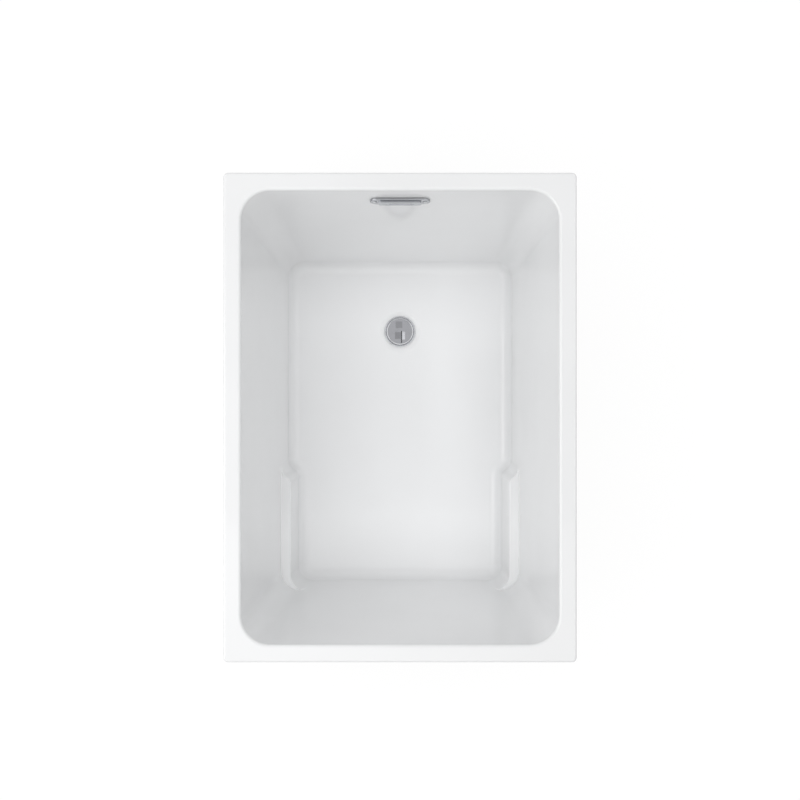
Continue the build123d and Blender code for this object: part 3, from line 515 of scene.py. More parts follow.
def cut(piece, cutter, crossed=False):
    """Takes the cutter's shape, whose own parts may be crossed, out of the piece and removes the cutter"""
    tool = piece.modifiers.new("cut", "BOOLEAN")
    tool.operation = "DIFFERENCE"
    tool.object = cutter
    tool.solver = "EXACT"
    tool.use_self = crossed
    baked(piece)
    mesh = cutter.data
    bpy.data.objects.remove(cutter)
    bpy.data.meshes.remove(mesh)
    return piece


def smooth(piece, degrees=32.0):
    """Smooth shading, with a sharp edge wherever faces meet at more than the angle"""
    piece.data.shade_smooth()
    piece.data.set_sharp_from_angle(angle=math.radians(degrees))
    return piece


def stands_for(piece, node, slot=None):
    """Lets a finished piece take a node's place, body and finish"""
    if not piece.data.materials:
        piece.data.materials.append(finish_for(slot or SLOT_OF[node]))
    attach(piece, BODY_OF[node])
    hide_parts(node)
    return piece


def refined(node, bevel, slot=None):
    """A merged copy of a node: flat faces joined, hard edges eased and round faces smooth"""
    shape = bmesh.new()
    shape.from_mesh(NODES[node].data)
    bmesh.ops.remove_doubles(shape, verts=shape.verts, dist=CAD_MERGE)
    bmesh.ops.dissolve_limit(
        shape, angle_limit=math.radians(0.6), use_dissolve_boundaries=False,
        verts=shape.verts, edges=shape.edges,
    )
    piece = from_shape(f"{node}_finish", shape)
    if bevel:
        eased(piece, bevel, 35.0)
    piece.data.materials.clear()
    smooth(piece, 40.0)
    return stands_for(piece, node, slot)


def lathe(name, profile, centre, steps=96):
    """The profile, (radius, height) pairs in order, turned about a vertical axis into a closed ring"""
    points, faces = [], []
    count = len(profile)
    for number in range(steps):
        angle = 2 * math.pi * number / steps
        east, north = math.cos(angle), math.sin(angle)
        for radius, height in profile:
            points.append((centre[0] + radius * east, centre[1] + radius * north, height))
        here, there = number * count, (number + 1) % steps * count
        for index in range(count):
            follow = (index + 1) % count
            faces.append((here + index, there + index, there + follow, here + follow))
    return closed(new_object(name, points, faces), LATHE_MERGE)


def arc_profile(centre, radius, start, stop, steps):
    """Points of an arc in a lathe profile, angles in degrees"""
    angles = np.radians(np.linspace(start, stop, steps))
    return [(centre[0] + radius * math.cos(a), centre[1] + radius * math.sin(a)) for a in angles]


class Basin:
    """The shell's surfaces, worked out column by column from the sizes"""

    # Columns on each stretch of the plan
    SEAT, ARC, SIDE, STEP, LONG, END = 16, 16, 26, 30, 34, 16

    # Turn of the seat supports' ends in the plan, in degrees
    TURN = 50

    # Places of the floor's rows between the recess and the foot of the walls
    FLOOR_ROWS = (0.0, 0.012, 0.12, 0.25, 0.4, 0.55, 0.7, 0.84, 0.93, 0.985)

    # Height over which a wall's slope is taken and the seat supports' edges are worked out
    LIFT = 0.03

    # Radii at the seat supports' outer edge and where their tops meet the wall
    EDGE, CREASE = 0.0032, 0.0024

    # Width over which the seat supports fade into the plain wall
    FADE = 0.004

    def __init__(self, sizes):
        self.s = sizes
        self.ledge_top = sizes.floor_height + sizes.ledge_rise
        self.depth = sizes.height - sizes.floor_height
        self.opening_x = sizes.width - 2 * sizes.rim
        self.opening_y = sizes.length - 2 * sizes.rim

    def half_x(self, z):
        share = (z - self.s.floor_height) / self.depth
        return (self.s.floor_width + (self.opening_x - self.s.floor_width) * share) / 2

    def half_y(self, z):
        share = (z - self.s.floor_height) / self.depth
        return (self.s.floor_length + (self.opening_y - self.s.floor_length) * share) / 2

    def corner(self, z):
        share = (z - self.s.floor_height) / self.depth
        return self.s.floor_corner + (self.s.opening_corner - self.s.floor_corner) * share

    def loop(self, half_x, half_y, seat_radius, drain_radius, ledge=None):
        """Points and outward directions round the plan, from the middle of the seat end"""
        points, outward = [], []

        def straight(start, stop, count, direction):
            for share in np.linspace(0, 1, count, endpoint=False):
                points.append(np.array(start) + (np.array(stop) - np.array(start)) * share)
                outward.append(direction)

        def curve(centre, radius, start, stop, count, sign=1.0):
            for angle in np.radians(np.linspace(start, stop, count, endpoint=False)):
                spoke = np.array((math.cos(angle), math.sin(angle)))
                points.append(np.array(centre) + radius * spoke)
                outward.append(sign * spoke)

        side = ledge["inner"] if ledge else half_x
        low, high = self.ledge_stations(ledge)
        straight((0, -half_y), (side - seat_radius, -half_y), self.SEAT, (0.0, -1.0))
        curve((side - seat_radius, -half_y + seat_radius), seat_radius, -90, 0, self.ARC)
        straight((side, -half_y + seat_radius), (side, low), self.SIDE, (1.0, 0.0))
        if ledge:
            nose, step, third = self.s.ledge_nose, self.s.ledge_step, self.STEP // 3
            east, north = math.cos(math.radians(self.TURN)), math.sin(math.radians(self.TURN))
            curve((side + nose, low), nose, 180, 180 - self.TURN, third, -1.0)
            first = np.array((side + nose * (1 - east), low + nose * north))
            last = np.array((half_x - step * (1 - east), high - step * north))
            straight(first, last, third, (east, -north))
            curve((half_x - step, high), step, -self.TURN, 0, third)
            self.step_rows = [p[1] for p in points[-self.STEP:]]
        else:
            for y in self.step_rows:
                points.append(np.array((half_x, y)))
                outward.append((1.0, 0.0))
        straight((half_x, high), (half_x, half_y - drain_radius), self.LONG, (1.0, 0.0))
        curve((half_x - drain_radius, half_y - drain_radius), drain_radius, 0, 90, self.ARC)
        straight((half_x - drain_radius, half_y), (0, half_y), self.END, (0.0, 1.0))
        points.append(np.array((0.0, half_y)))
        outward.append((0.0, 1.0))
        points = np.array(points, float)
        outward = np.array(outward, float)
        flip = np.array((-1.0, 1.0))
        return np.vstack([points, points[-2:0:-1] * flip]), np.vstack([outward, outward[-2:0:-1] * flip])

    def ledge_stations(self, ledge):
        """Where the seat support's end curve starts and stops along the wall"""
        if ledge:
            turn = math.radians(self.TURN)
            half = math.tan(turn / 2)
            step = ledge["nose"] + (ledge["wall"] - ledge["inner"]) / math.tan(turn)
            self.stations = (ledge["nose"] - self.s.ledge_nose * half, step + self.s.ledge_step * half)
        return self.stations

    def upper(self, z):
        return self.loop(self.half_x(z), self.half_y(z), self.corner(z), self.corner(z))

    def lower(self, z):
        s = self.s
        drop = (self.ledge_top - z) / s.ledge_rise
        inner = self.half_x(self.ledge_top) - s.ledge_width - s.ledge_face * drop
        nose = -self.half_y(self.ledge_top) + s.ledge_length + s.ledge_end * drop
        ledge = {"inner": inner, "nose": nose, "wall": self.half_x(z)}
        return self.loop(self.half_x(z), self.half_y(z), s.ledge_seat_corner, self.corner(z), ledge)

    @staticmethod
    def at(plan, height):
        """The plan's points at one height, or each at its own"""
        return np.column_stack([plan, np.full(len(plan), height) if np.isscalar(height) else height])

    @staticmethod
    def round_corner(first, corner, last, reach, steps):
        """Rows of a curve that rounds a corner between two others, reach from it at most"""
        def toward(target):
            span = target - corner
            size = np.linalg.norm(span, axis=1)[:, None]
            return corner + span * np.minimum(1.0, np.minimum(reach, 0.46 * size) / np.maximum(size, 1e-9))
        start, stop = toward(first), toward(last)
        rows = []
        for t in np.linspace(0, 1, steps):
            rows.append((1 - t) ** 2 * start + 2 * t * (1 - t) * corner + t**2 * stop)
        return rows

    def turned(self, plan, outward, height, wall_slope, radius, steps, lip):
        """Rows of the round between a wall and a level surface: the lip above, or the foot below"""
        alpha = np.arctan(wall_slope)
        reach = radius * np.tan((math.pi / 2 - alpha) / 2)
        rows = []
        for share in np.linspace(0, 1, steps):
            swing = share * (math.pi / 2 - alpha)
            if lip:
                centre = plan + outward * reach[:, None]
                offset = -np.sin(swing)[:, None] * outward * radius
                rise = height - radius + radius * np.cos(swing)
            else:
                centre = plan - outward * reach[:, None]
                offset = np.sin(swing)[:, None] * outward * radius
                rise = height + radius - radius * np.cos(swing)
            rows.append(self.at(centre + offset, rise))
        return rows

    def inside(self):
        """Rows from the recess's edge up the walls to the rim's flat"""
        s = self.s
        base, top = s.floor_height, self.ledge_top
        foot, foot_out = self.lower(base)
        above, _ = self.lower(base + self.LIFT)
        slope = np.einsum("ij,ij->i", above - foot, foot_out) / self.LIFT
        fillet = self.turned(foot, foot_out, base, slope, s.floor_fillet, 12, lip=False)
        drain = np.array((0.0, s.drain_y))
        reach = foot - drain
        angle = np.arctan2(reach[:, 1], reach[:, 0])
        ring = drain + s.recess_outer * np.column_stack([np.cos(angle), np.sin(angle)])
        rows = []
        for share in self.FLOOR_ROWS:
            rows.append(self.at(ring + (fillet[0][:, :2] - ring) * share, base))
        rows += fillet
        low, high = top - self.LIFT, top + self.LIFT
        for z in np.linspace(base + s.floor_fillet + 0.002, low - 0.004, 6):
            rows.append(self.at(self.lower(z)[0], z))
        below = self.at(self.lower(low)[0], low)
        outer_edge = self.at(self.lower(top)[0], top)
        wall_plan, wall_out = self.upper(top)
        wall_edge = self.at(wall_plan, top)
        wall_above = self.at(self.upper(high)[0], high)
        shelf = np.einsum("ij,ij->i", wall_plan - outer_edge[:, :2], wall_out)
        stepped = [below, below + (outer_edge - below) * 0.5]
        stepped += self.round_corner(below, outer_edge, wall_edge, self.EDGE, 7)
        stepped += [outer_edge + (wall_edge - outer_edge) * 0.5]
        stepped += self.round_corner(outer_edge, wall_edge, wall_above, self.CREASE, 7)
        stepped += [wall_edge + (wall_above - wall_edge) * 0.5, wall_above]
        weight = np.clip(shelf / self.FADE, 0, 1)
        weight = (weight * weight * (3 - 2 * weight))[:, None]
        for number, row in enumerate(stepped):
            plain = below + (wall_above - below) * (number / (len(stepped) - 1))
            rows.append(plain + (row - plain) * weight)
        rim_plan, rim_out = self.upper(s.height)
        below_rim, _ = self.upper(s.height - self.LIFT)
        rim_slope = np.einsum("ij,ij->i", rim_plan - below_rim, rim_out) / self.LIFT
        lip = self.turned(rim_plan, rim_out, s.height, rim_slope, s.lip, 9, lip=True)
        under_lip = s.height - s.lip - 0.001
        for z in (*np.linspace(high + self.LIFT, s.height - 0.02, 11), under_lip):
            rows.append(self.at(self.upper(z)[0], z))
        rows += lip[::-1]
        return rows

    def rim(self, start):
        """Rows from the lip's top over the rim, down the skirt and back up inside it"""
        s = self.s
        bottom = s.height - s.skirt
        half = np.array((s.width, s.length)) / 2

        def outline(inset):
            radius = max(s.rim_corner - inset, 0.0015)
            return self.loop(half[0] - inset, half[1] - inset, radius, radius)[0]

        inner = start[:, :2]
        edge = outline(s.rim_edge)
        rows = [self.at(inner + (edge - inner) * share, s.height) for share in (0.03, 0.35, 0.7, 0.97)]
        for angle in np.radians(np.linspace(0, 90, 7)):
            inset = s.rim_edge * (1 - math.sin(angle))
            rows.append(self.at(outline(inset), s.height - s.rim_edge * (1 - math.cos(angle))))
        rows.append(self.at(outline(0.0), s.height - s.rim_edge - 0.001))
        foot = 0.0012
        swing = np.radians(np.linspace(0, 90, 4))
        rows.append(self.at(outline(0.0), bottom + foot + 0.0006))
        for angle in swing:
            rows.append(self.at(outline(foot * (1 - math.cos(angle))), bottom + foot * (1 - math.sin(angle))))
        for angle in swing:
            inset = s.thickness - foot * (1 - math.sin(angle))
            rows.append(self.at(outline(inset), bottom + foot * (1 - math.cos(angle))))
        under = s.height - s.thickness
        for extra, drop in ((0.0, 0.004), (0.001, 0.001), (0.004, 0.0)):
            rows.append(self.at(outline(s.thickness + extra), under - drop))
        return rows

    def offset(self, rows, distance):
        """The same rows moved off their surface, away from the basin's hollow"""
        grid = np.array(rows)
        along = np.roll(grid, -1, axis=1) - np.roll(grid, 1, axis=1)
        up = np.empty_like(grid)
        up[1:-1] = grid[2:] - grid[:-2]
        up[0] = grid[1] - grid[0]
        up[-1] = grid[-1] - grid[-2]
        normal = np.cross(along, up)
        size = np.linalg.norm(normal, axis=2)[:, :, None]
        return grid + normal / np.maximum(size, 1e-12) * distance


def overflow_axes(sizes):
    """Where the overflow sits on the inside of the end wall, with the wall's directions there"""
    plate_stand = 0.00275
    run = (sizes.length - 2 * sizes.rim - sizes.floor_length) / 2
    lean = math.atan2(run, sizes.height - sizes.floor_height)
    normal = Vector((0, -math.cos(lean), math.sin(lean)))
    up = Vector((0, math.sin(lean), math.cos(lean)))
    middle = (PLATE_LOW + PLATE_HIGH) / 2
    return middle - normal * plate_stand, normal, up


def cut_overflow(piece, sizes):
    """Cuts the overflow's slot and its two screw holes through the wall"""
    origin, normal, up = overflow_axes(sizes)
    before_wall, behind_wall, steps = 0.003, 0.010, 32
    holes = [(0.0, sizes.overflow_half, sizes.overflow_radius)]
    holes += [(side * sizes.overflow_screw, 0.0, sizes.screw_hole) for side in (-1, 1)]
    shape = bmesh.new()
    for x, half, radius in holes:
        outline = []
        for number in range(steps):
            angle = 2 * math.pi * (number + 0.5) / steps
            across = x + math.copysign(half, math.cos(angle)) + radius * math.cos(angle)
            outline.append(origin + Vector((across, 0, 0)) + up * (radius * math.sin(angle)))
        near = [shape.verts.new(point + normal * before_wall) for point in outline]
        far = [shape.verts.new(point - normal * behind_wall) for point in outline]
        shape.faces.new(near)
        shape.faces.new(far[::-1])
        for number in range(steps):
            after = (number + 1) % steps
            shape.faces.new((near[after], near[number], far[number], far[after]))
    bmesh.ops.recalc_face_normals(shape, faces=shape.faces)
    cut(piece, from_shape("overflow_cutter", shape))


class TUB_OT_shell(bpy.types.Operator):
    """Makes the acrylic shell: rim, basin, seat supports, drain recess and overflow slot"""

    bl_idname = "tub.shell"
    bl_label = "Shell"

    def execute(self, context):
        s = context.scene.tub_sizes
        basin = Basin(s)
        inner = basin.inside()
        rim = basin.rim(inner[-1])
        under = s.height - s.thickness
        skin = [row for row in inner if row[:, 2].max() < s.height - 0.012]
        backing = list(basin.offset(skin, s.thickness)[::-1])
        start = backing[0][:, :2]
        run = rim[-1][:, :2] - start
        join = basin.at(start + run * 0.4, under)
        throat = basin.at(start + run * 0.12, under - 0.0008)
        ring = inner[0][:, :2] - np.array((0.0, s.drain_y))
        spoke = ring / np.linalg.norm(ring, axis=1)[:, None]

        def circle(radius, height):
            return basin.at(np.array((0.0, s.drain_y)) + spoke * radius, height)

        seat = s.floor_height - s.recess_depth
        drain_rows = [
            circle(s.recess_outer, s.floor_height - s.thickness),
            circle(s.recess_outer, seat - s.thickness),
            circle(s.drain_hole, seat - s.thickness),
            circle(s.drain_hole, seat),
            circle(s.recess_inner - 0.0006, seat),
            circle(s.recess_inner + 0.0003, seat + 0.0001),
            circle(s.recess_outer - 0.0004, s.floor_height - 0.0002),
        ]
        rows = inner + rim + [join, throat] + backing[:-1] + drain_rows
        count = len(inner[0])
        points = np.vstack(rows)
        faces = []
        for number in range(len(rows)):
            here, there = number * count, (number + 1) % len(rows) * count
            for column in range(count):
                follow = (column + 1) % count
                faces.append((here + column, here + follow, there + follow, there + column))
        piece = new_object("shell_skin", points, faces)
        piece.data.materials.append(finish_for("white_acrylic"))
        piece.data.materials.append(finish_for("resin"))
        shades = np.zeros(len(faces), np.int32)
        first_resin = len(inner) + len(rim) - 4
        last_resin = len(rows) - len(drain_rows) + 2
        shades[first_resin * count:last_resin * count] = 1
        piece.data.polygons.foreach_set("material_index", shades)
        closed(piece, SHELL_MERGE)
        cut_overflow(piece, s)
        smooth(piece, 38.0)
        stands_for(piece, "tub_shell")
        return {"FINISHED"}


class TUB_OT_apron(bpy.types.Operator):
    """Makes the front apron, a moulded sheet with returned ends and foot"""

    bl_idname = "tub.apron"
    bl_label = "Apron"

    def execute(self, context):
        low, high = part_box("front_apron")
        sheet, fold, edge = 0.004, 0.005, 0.0006
        shape = bmesh.new()
        bmesh.ops.create_cube(shape, size=1.0)
        span, middle = high - low, (high + low) / 2
        for vert in shape.verts:
            vert.co = Vector(vert.co[i] * span[i] + middle[i] for i in range(3))
        shape.normal_update()
        gone = [face for face in shape.faces if face.normal.x > 0.5 or face.normal.z > 0.5]
        bmesh.ops.delete(shape, geom=gone, context="FACES")
        folds = [line for line in shape.edges if len(line.link_faces) == 2]
        bmesh.ops.bevel(
            shape, geom=folds, offset=fold, offset_type="OFFSET", segments=6, profile=0.5, affect="EDGES"
        )
        piece = from_shape("apron_panel", shape)
        wall = piece.modifiers.new("wall", "SOLIDIFY")
        wall.thickness = sheet
        wall.offset = -1.0
        wall.use_even_offset = True
        eased(piece, edge, 50)
        smooth(piece, 40.0)
        stands_for(piece, "front_apron")
        return {"FINISHED"}


# Radius of the flange's bore, and height of the dish in its top
BORE = 0.020
DISH = FLANGE_HIGH.z - 0.0018


def flange_profile():
    """The drain's flange and its tube: down the bore, up outside, over the rim and into the dish"""
    tube, foot, lip, bead = 0.0235, 0.0006, 0.0024, 0.0009
    radius = (FLANGE_HIGH.x - FLANGE_LOW.x) / 2
    top, under = FLANGE_HIGH.z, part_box("drain_gasket")[1].z
    profile = [(BORE, FLANGE_LOW.z), (tube, FLANGE_LOW.z), (tube, under), (radius - foot, under)]
    profile += arc_profile((radius - foot, under + foot), foot, -90, 0, 4)
    profile += arc_profile((radius - lip, top - lip), lip, 0, 90, 8)
    profile += [(radius - 0.0030, top)]
    profile += arc_profile((radius - 0.0030, top - bead), bead, 100, 170, 5)
    profile += [(radius - 0.0042, DISH + 0.0001), (radius - 0.0050, DISH), (0.0225, DISH - 0.0009)]
    return profile + [(0.0214, DISH - 0.0014), (BORE, DISH - 0.0030)]


def cap_profile():
    """The stopper's cap: over its dome, round its edge and down to its socket"""
    rise, edge, plug, socket = 0.0018, 0.0020, 0.021, 0.0025
    radius, crown = (CAP_HIGH.x - CAP_LOW.x) / 2, CAP_HIGH.z
    base = crown - rise - edge
    bend = (radius**2 + rise**2) / (2 * rise)
    profile = [(0.0, crown)]
    for share in np.linspace(0.03, 1.0, 26):
        reach = (radius - 0.0007) * share
        profile.append((reach, crown - bend + math.sqrt(bend**2 - reach**2)))
    profile += arc_profile((radius - 0.0009, crown - rise - 0.0008), 0.0009, 70, 0, 5)
    profile += [(radius, base + 0.0006), (radius - 0.0006, base), (plug, base), (plug, base - 0.002)]
    return profile + [(socket, base - 0.002), (socket, CAP_LOW.z), (0.0, CAP_LOW.z)]


def spider(centre):
    """Two crossed arms and the hub that hold the stopper's post in the bore"""
    level = DISH - 0.0105
    shape = bmesh.new()
    for turn in (0, math.pi / 2):
        arm = bmesh.ops.create_cube(shape, size=1.0)["verts"]
        matrix = Matrix.Translation((*centre, level)) @ Matrix.Rotation(turn, 4, "Z")
        for vert in arm:
            vert.co = matrix @ Vector((vert.co.x * (2 * BORE + 0.001), vert.co.y * 0.003, vert.co.z * 0.005))
    hub = bmesh.ops.create_cone(
        shape, cap_ends=True, segments=32, radius1=0.0075, radius2=0.0075, depth=0.0052
    )["verts"]
    for vert in hub:
        vert.co += Vector((*centre, level))
    return from_shape("drain_spider", shape)


class TUB_OT_drain(bpy.types.Operator):
    """Makes the drain's flange and spider, the stopper's cap and post, and their gasket, seal and nut"""

    bl_idname = "tub.drain"
    bl_label = "Drain"

    def execute(self, context):
        centre = (0.0, context.scene.tub_sizes.drain_y)
        flange = lathe("drain_flange_plated", flange_profile(), centre, 128)
        arms = spider(centre)
        arms.data.materials.append(finish_for("chrome"))
        smooth(arms)
        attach(arms, BODY_OF["drain_flange"])
        smooth(flange, 30.0)
        stands_for(flange, "drain_flange")
        cap = lathe("stopper_cap_plated", cap_profile(), centre, 128)
        smooth(cap, 30.0)
        stands_for(cap, "stopper_cap")
        for node in ("drain_gasket", "drain_washer", "stopper_seal"):
            refined(node, 0.0003)
        refined("drain_locknut", 0.0006)
        refined("stopper_post", 0.0002)
        return {"FINISHED"}


class TUB_OT_overflow(bpy.types.Operator):
    """Makes the overflow's plate, hood, gaskets and the body behind the wall"""

    bl_idname = "tub.overflow"
    bl_label = "Overflow"

    def execute(self, context):
        # The plate and hood take the satin chrome, whose darker colour is painted shade on their reflections
        refined("overflow_plate", 0.0, slot="satin_chrome")
        refined("overflow_hood", 0.0003, slot="satin_chrome")
        refined("overflow_gasket", 0.0)
        refined("overflow_seal", 0.0)
        refined("overflow_body", 0.0005)
        return {"FINISHED"}


class TUB_OT_waste(bpy.types.Operator):
    """Makes the waste body, the ribbed overflow hose and its clamps"""

    bl_idname = "tub.waste"
    bl_label = "Waste"

    def execute(self, context):
        refined("waste_body", 0.0006)
        refined("overflow_hose", 0.0)
        refined("hose_clamp_upper", 0.0002)
        refined("hose_clamp_lower", 0.0002)
        return {"FINISHED"}


class TUB_OT_timber(bpy.types.Operator):
    """Makes the base board and the battens under the rim"""

    bl_idname = "tub.timber"
    bl_label = "Timber"

    def execute(self, context):
        refined("base_board", 0.0008)
        for side in ("front", "back"):
            refined(f"rim_batten_{side}", 0.0006)
        for end in ("drain", "seat"):
            refined(f"rim_batten_{end}", 0.0006, slot="timber_cross")
        return {"FINISHED"}


class TUB_OT_steel(bpy.types.Operator):
    """Makes the rails, cross members, uprights and brackets of the frame"""

    bl_idname = "tub.steel"
    bl_label = "Steel frame"

    def execute(self, context):
        for node in sorted(NODES):
            if SLOT_OF[node] == "painted_steel":
                refined(node, 0.0004)
        refined("rail_end_caps", 0.0006)
        return {"FINISHED"}


class TUB_OT_feet(bpy.types.Operator):
    """Makes the levelling feet and their lock nuts"""

    bl_idname = "tub.feet"
    bl_label = "Feet"

    def execute(self, context):
        for node in sorted(NODES):
            if node.startswith("foot_"):
                refined(node, 0.0005)
        return {"FINISHED"}


def islands(node):
    """The separate solids of a node, each as an array of its points"""
    shape = bmesh.new()
    shape.from_mesh(NODES[node].data)
    bmesh.ops.remove_doubles(shape, verts=shape.verts, dist=CAD_MERGE)
    found, seen = [], set()
    for first in shape.verts:
        if first in seen:
            continue
        seen.add(first)
        heap, group = [first], []
        while heap:
            vert = heap.pop()
            group.append(vert.co.copy())
            for edge in vert.link_edges:
                other = edge.other_vert(vert)
                if other not in seen:
                    seen.add(other)
                    heap.append(other)
        found.append(np.array(group))
    shape.free()
    return found


def screw_master(name, shank, depth, head, height, flat):
    """One screw with its head up: a rolled thread, a domed or flat head and a cross recess"""
    root, pitch = shank * 0.8, 0.0012
    level = min(0.004, depth * 0.4) - depth
    profile = [(0.0, -depth), (shank * 0.25, -depth + 0.0002), (root, level)]
    while level < -0.0022:
        profile += [(shank, level + 0.0004), (root, level + 0.0010)]
        level += pitch
    profile += [(shank, -0.0006), (shank, 0.0), (head - 0.0002, 0.0)]
    if flat:
        profile += [(head, 0.0002), (head, height * 0.35), (head - 0.0006, height), (0.0, height)]
    else:
        profile += [(head, 0.0002)]
        for share in np.linspace(0.0, 1.0, 7):
            angle = share * math.pi / 2
            profile.append((head * math.cos(angle) ** 0.7, height * (0.25 + 0.75 * math.sin(angle))))
    piece = lathe(name, profile, (0.0, 0.0), 32)
    shape = bmesh.new()
    for turn in (0.0, math.pi / 2):
        bar = bmesh.ops.create_cube(shape, size=1.0)["verts"]
        spin = Matrix.Rotation(turn, 4, "Z")
        for vert in bar:
            taper = 0.55 if vert.co.z < 0 else 1.0
            along, across, up = vert.co
            reach = along * head * 1.05 * taper
            vert.co = spin @ Vector((reach, across * head * 0.22, height * (1 + up * 1.3)))
    cut(piece, from_shape(f"{name}_driver", shape), crossed=True)
    return smooth(piece, 35.0)


def repeat_tree():
    """The node tree that sets a master piece on every point of a mesh, turned by the point's own angles"""
    if "repeat_on_points" in bpy.data.node_groups:
        return bpy.data.node_groups["repeat_on_points"]
    tree = bpy.data.node_groups.new("repeat_on_points", "GeometryNodeTree")
    face = tree.interface
    face.new_socket("Points", in_out="INPUT", socket_type="NodeSocketGeometry")
    face.new_socket("Master", in_out="INPUT", socket_type="NodeSocketObject")
    face.new_socket("Finish", in_out="INPUT", socket_type="NodeSocketMaterial")
    face.new_socket("Pieces", in_out="OUTPUT", socket_type="NodeSocketGeometry")
    make = tree.nodes.new
    start, end = make("NodeGroupInput"), make("NodeGroupOutput")
    source = make("GeometryNodeObjectInfo")
    angles = make("GeometryNodeInputNamedAttribute")
    angles.data_type = "FLOAT_VECTOR"
    angles.inputs["Name"].default_value = "turn"
    places = make("GeometryNodeInstanceOnPoints")
    real = make("GeometryNodeRealizeInstances")
    shade = make("GeometryNodeSetMaterial")
    link = tree.links.new
    link(start.outputs["Master"], source.inputs["Object"])
    link(start.outputs["Points"], places.inputs["Points"])
    link(source.outputs["Geometry"], places.inputs["Instance"])
    link(angles.outputs[0], places.inputs["Rotation"])
    link(places.outputs["Instances"], real.inputs["Geometry"])
    link(real.outputs["Geometry"], shade.inputs["Geometry"])
    link(start.outputs["Finish"], shade.inputs["Material"])
    link(shade.outputs["Geometry"], end.inputs["Pieces"])
    return tree


def repeated(name, master, places, turns, slot):
    """Sets copies of the master at the places, as one plain mesh"""
    piece = new_object(name, places, [])
    angles = piece.data.attributes.new("turn", "FLOAT_VECTOR", "POINT")
    angles.data.foreach_set("vector", np.array(turns, np.float32).ravel())
    spread = piece.modifiers.new("repeat", "NODES")
    spread.node_group = repeat_tree()
    sockets = spread.node_group.interface.items_tree
    ids = {socket.name: socket.identifier for socket in sockets if socket.in_out == "INPUT"}
    spread[ids["Master"]] = master
    spread[ids["Finish"]] = finish_for(slot)
    return baked(piece)


def head_direction(node, centre, sizes):
    """The way a screw's head faces"""
    if node == "overflow_screws":
        return overflow_axes(sizes)[1]
    if node == "board_screws":
        return Vector((0, 0, -1))
    if node == "upright_screws":
        return Vector((0, 0, 1 if centre.z < 0.3 else -1))
    if node == "cross_member_screws":
        return Vector((-math.copysign(1.0, centre.x), 0, 0))
    return Vector((-1, 0, 0))


def measured(points, facing):
    """Where a screw's head sits, and the sizes of its shank, depth, head and head's height"""
    levels = points @ np.array(facing)
    rounds = np.round(levels, 5)
    seat = sorted(set(rounds))[1]
    crown = points[rounds == rounds.max()]
    foot = points[rounds == rounds.min()]
    middle = crown.mean(axis=0)
    height = float(levels.max() - seat)
    head = float(np.linalg.norm(crown - middle, axis=1).max())
    shank = float(np.linalg.norm(foot - foot.mean(axis=0), axis=1).max())
    return tuple(Vector(middle) - facing * height), shank, float(seat - levels.min()), head, height


class TUB_OT_screws(bpy.types.Operator):
    """Makes the screws of the frame, the apron and the overflow"""

    bl_idname = "tub.screws"
    bl_label = "Screws"

    def execute(self, context):
        for node in sorted(NODES):
            if not node.endswith("_screws"):
                continue
            places, turns = [], []
            for points in islands(node):
                centre = Vector(points.mean(axis=0))
                facing = head_direction(node, centre, context.scene.tub_sizes)
                place, *sizes = measured(points, facing)
                places.append(place)
                turns.append(tuple(facing.to_track_quat("Z", "Y").to_euler()))
            master = screw_master(f"{node}_master", *sizes, flat=node == "overflow_screws")
            piece = repeated(f"{node}_set", master, places, turns, SLOT_OF[node])
            bpy.data.objects.remove(master)
            stands_for(piece, node)
        return {"FINISHED"}


def soft_light(name, place, target, size, power):
    """A rectangular area light that faces the target"""
    light = bpy.data.lights.new(name, "AREA")
    light.shape = "RECTANGLE"
    light.size, light.size_y = size
    light.energy = power
    lamp = placed(name, light)
    lamp.location = place
    lamp.rotation_mode = "QUATERNION"
    lamp.rotation_quaternion = (Vector(target) - Vector(place)).to_track_quat("-Z", "Y")
    return lamp


def level_sheet(name, west, east, south, north, height):
    """A level rectangle"""
    corners = [(west, south), (east, south), (east, north), (west, north)]
    return new_object(name, [(*corner, height) for corner in corners], [(0, 1, 2, 3)])


def studio_cards():
    """Cards over the camera that only mirrors see, so that chrome has a room to reflect"""
    cards = (
        ("studio_card_wide", (-0.95, 0.95, -0.40, 1.50), 3.62, 0.46),
        ("studio_card_door", (-0.34, 0.06, -0.02, 0.44), 3.50, 0.33),
        ("studio_card_post", (0.07, 0.13, -0.30, 0.52), 3.44, 0.07),
        ("studio_card_window", (0.15, 0.33, -0.06, 0.46), 3.46, 0.80),
        ("studio_card_beam", (-0.30, 0.16, 0.72, 1.20), 3.52, 0.35),
        ("studio_card_wall", (-1.20, 1.20, 1.50, 2.80), 3.62, 0.30),
    )
    for name, edges, height, shade in cards:
        card = level_sheet(name, *edges, height)
        finish = Finish(name)
        tint = (shade, shade, shade * 1.03, 1.0)
        finish.ends_in(finish.make("ShaderNodeEmission", {}, {"Color": tint, "Strength": 1.0}))
        card.data.materials.append(finish.material)
        for ray in ("camera", "diffuse", "transmission", "volume_scatter", "shadow"):
            setattr(card, f"visible_{ray}", False)


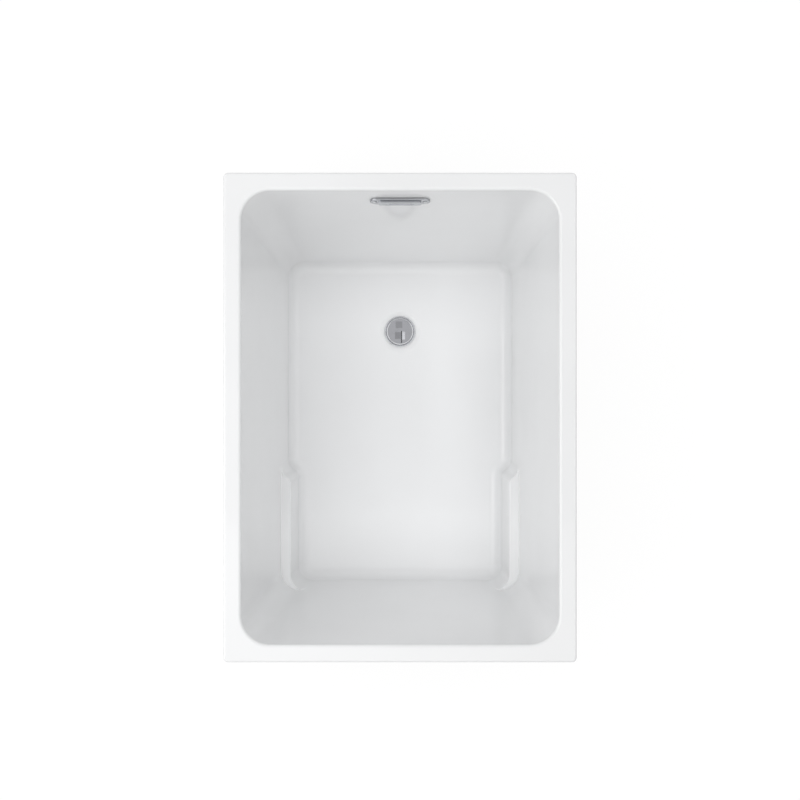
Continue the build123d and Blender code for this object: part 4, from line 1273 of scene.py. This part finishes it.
class TUB_OT_stage(bpy.types.Operator):
    """Makes the floor, the soft studio light and the camera"""

    bl_idname = "tub.stage"
    bl_label = "Stage"

    def execute(self, context):
        scene = context.scene
        stage = scene.tub_stage
        reach = 14.0
        floor = level_sheet("studio_floor", -reach, reach, -reach, reach, 0)
        finish = Finish("studio_floor")
        matte = finish.make("ShaderNodeBsdfDiffuse", {}, {"Color": (0.80, 0.80, 0.80, 1.0)})
        white = finish.make("ShaderNodeEmission", {}, {"Color": (1.0, 1.0, 1.0, 1.0), "Strength": 1.08})
        share = finish.seen() * 0.84
        finish.ends_in(finish.make("ShaderNodeMixShader", {}, {0: share, 1: matte, 2: white}))
        floor.data.materials.append(finish.material)

        world = bpy.data.worlds.new("studio")
        scene.world = world
        sky = Shading(world, "ShaderNodeOutputWorld")
        even, backdrop = (
            sky.make("ShaderNodeBackground", {}, {"Color": (1.0, 1.0, 1.0, 1.0), "Strength": level})
            for level in (stage.daylight, 1.0)
        )
        sky.ends_in(sky.make("ShaderNodeMixShader", {}, {0: sky.seen(), 1: even, 2: backdrop}))

        aim = (0, 0, 0.5)
        overhead = soft_light("overhead_light", (-0.2, 0, 4.6), aim, (4.2, 4.2), stage.overhead)
        overhead.visible_glossy = False
        studio_cards()
        soft_light("left_light", (-1.7, -0.3, 1.7), aim, (1.4, 1.8), stage.left)

        camera = bpy.data.cameras.new("view")
        camera.lens = stage.lens
        camera.sensor_width = SENSOR
        camera.clip_start, camera.clip_end = 0.05, 100.0
        pixels_per_metre = FRAME * stage.lens / SENSOR / stage.camera_height
        row_below_camera = stage.centre_row - stage.camera_y * pixels_per_metre
        camera.shift_y = (row_below_camera - FRAME / 2) / FRAME
        scene.camera = placed("view", camera)
        scene.camera.location = (0.0, stage.camera_y, scene.tub_sizes.height + stage.camera_height)
        scene.view_settings.view_transform = "Standard"
        return {"FINISHED"}


OPERATORS = (
    TUB_OT_shell, TUB_OT_apron, TUB_OT_drain, TUB_OT_overflow, TUB_OT_waste, TUB_OT_timber, TUB_OT_steel,
    TUB_OT_feet, TUB_OT_screws, TUB_OT_stage,
)


class TUB_PT_panel(bpy.types.Panel):
    """Sidebar panel that lists the tub's sizes, colours and makers"""

    bl_idname = "TUB_PT_panel"
    bl_label = "Bathtub"
    bl_space_type = "VIEW_3D"
    bl_region_type = "UI"
    bl_category = "Bathtub"

    def draw(self, context):
        for group in (context.scene.tub_sizes, context.scene.tub_colours, context.scene.tub_stage):
            box = self.layout.box()
            for key in group.__annotations__:
                box.prop(group, key)
        for operator in OPERATORS:
            self.layout.operator(operator.bl_idname)


CLASSES = (TubSizes, TubColours, StageSettings, *OPERATORS, TUB_PT_panel)


def register():
    for item in CLASSES:
        bpy.utils.register_class(item)
    bpy.types.Scene.tub_sizes = bpy.props.PointerProperty(type=TubSizes)
    bpy.types.Scene.tub_colours = bpy.props.PointerProperty(type=TubColours)
    bpy.types.Scene.tub_stage = bpy.props.PointerProperty(type=StageSettings)


def unregister():
    del bpy.types.Scene.tub_stage
    del bpy.types.Scene.tub_colours
    del bpy.types.Scene.tub_sizes
    for item in reversed(CLASSES):
        bpy.utils.unregister_class(item)


def main():
    register()
    for operator in OPERATORS:
        getattr(bpy.ops.tub, operator.bl_idname.removeprefix("tub."))()


if __name__ == "__main__":
    main()
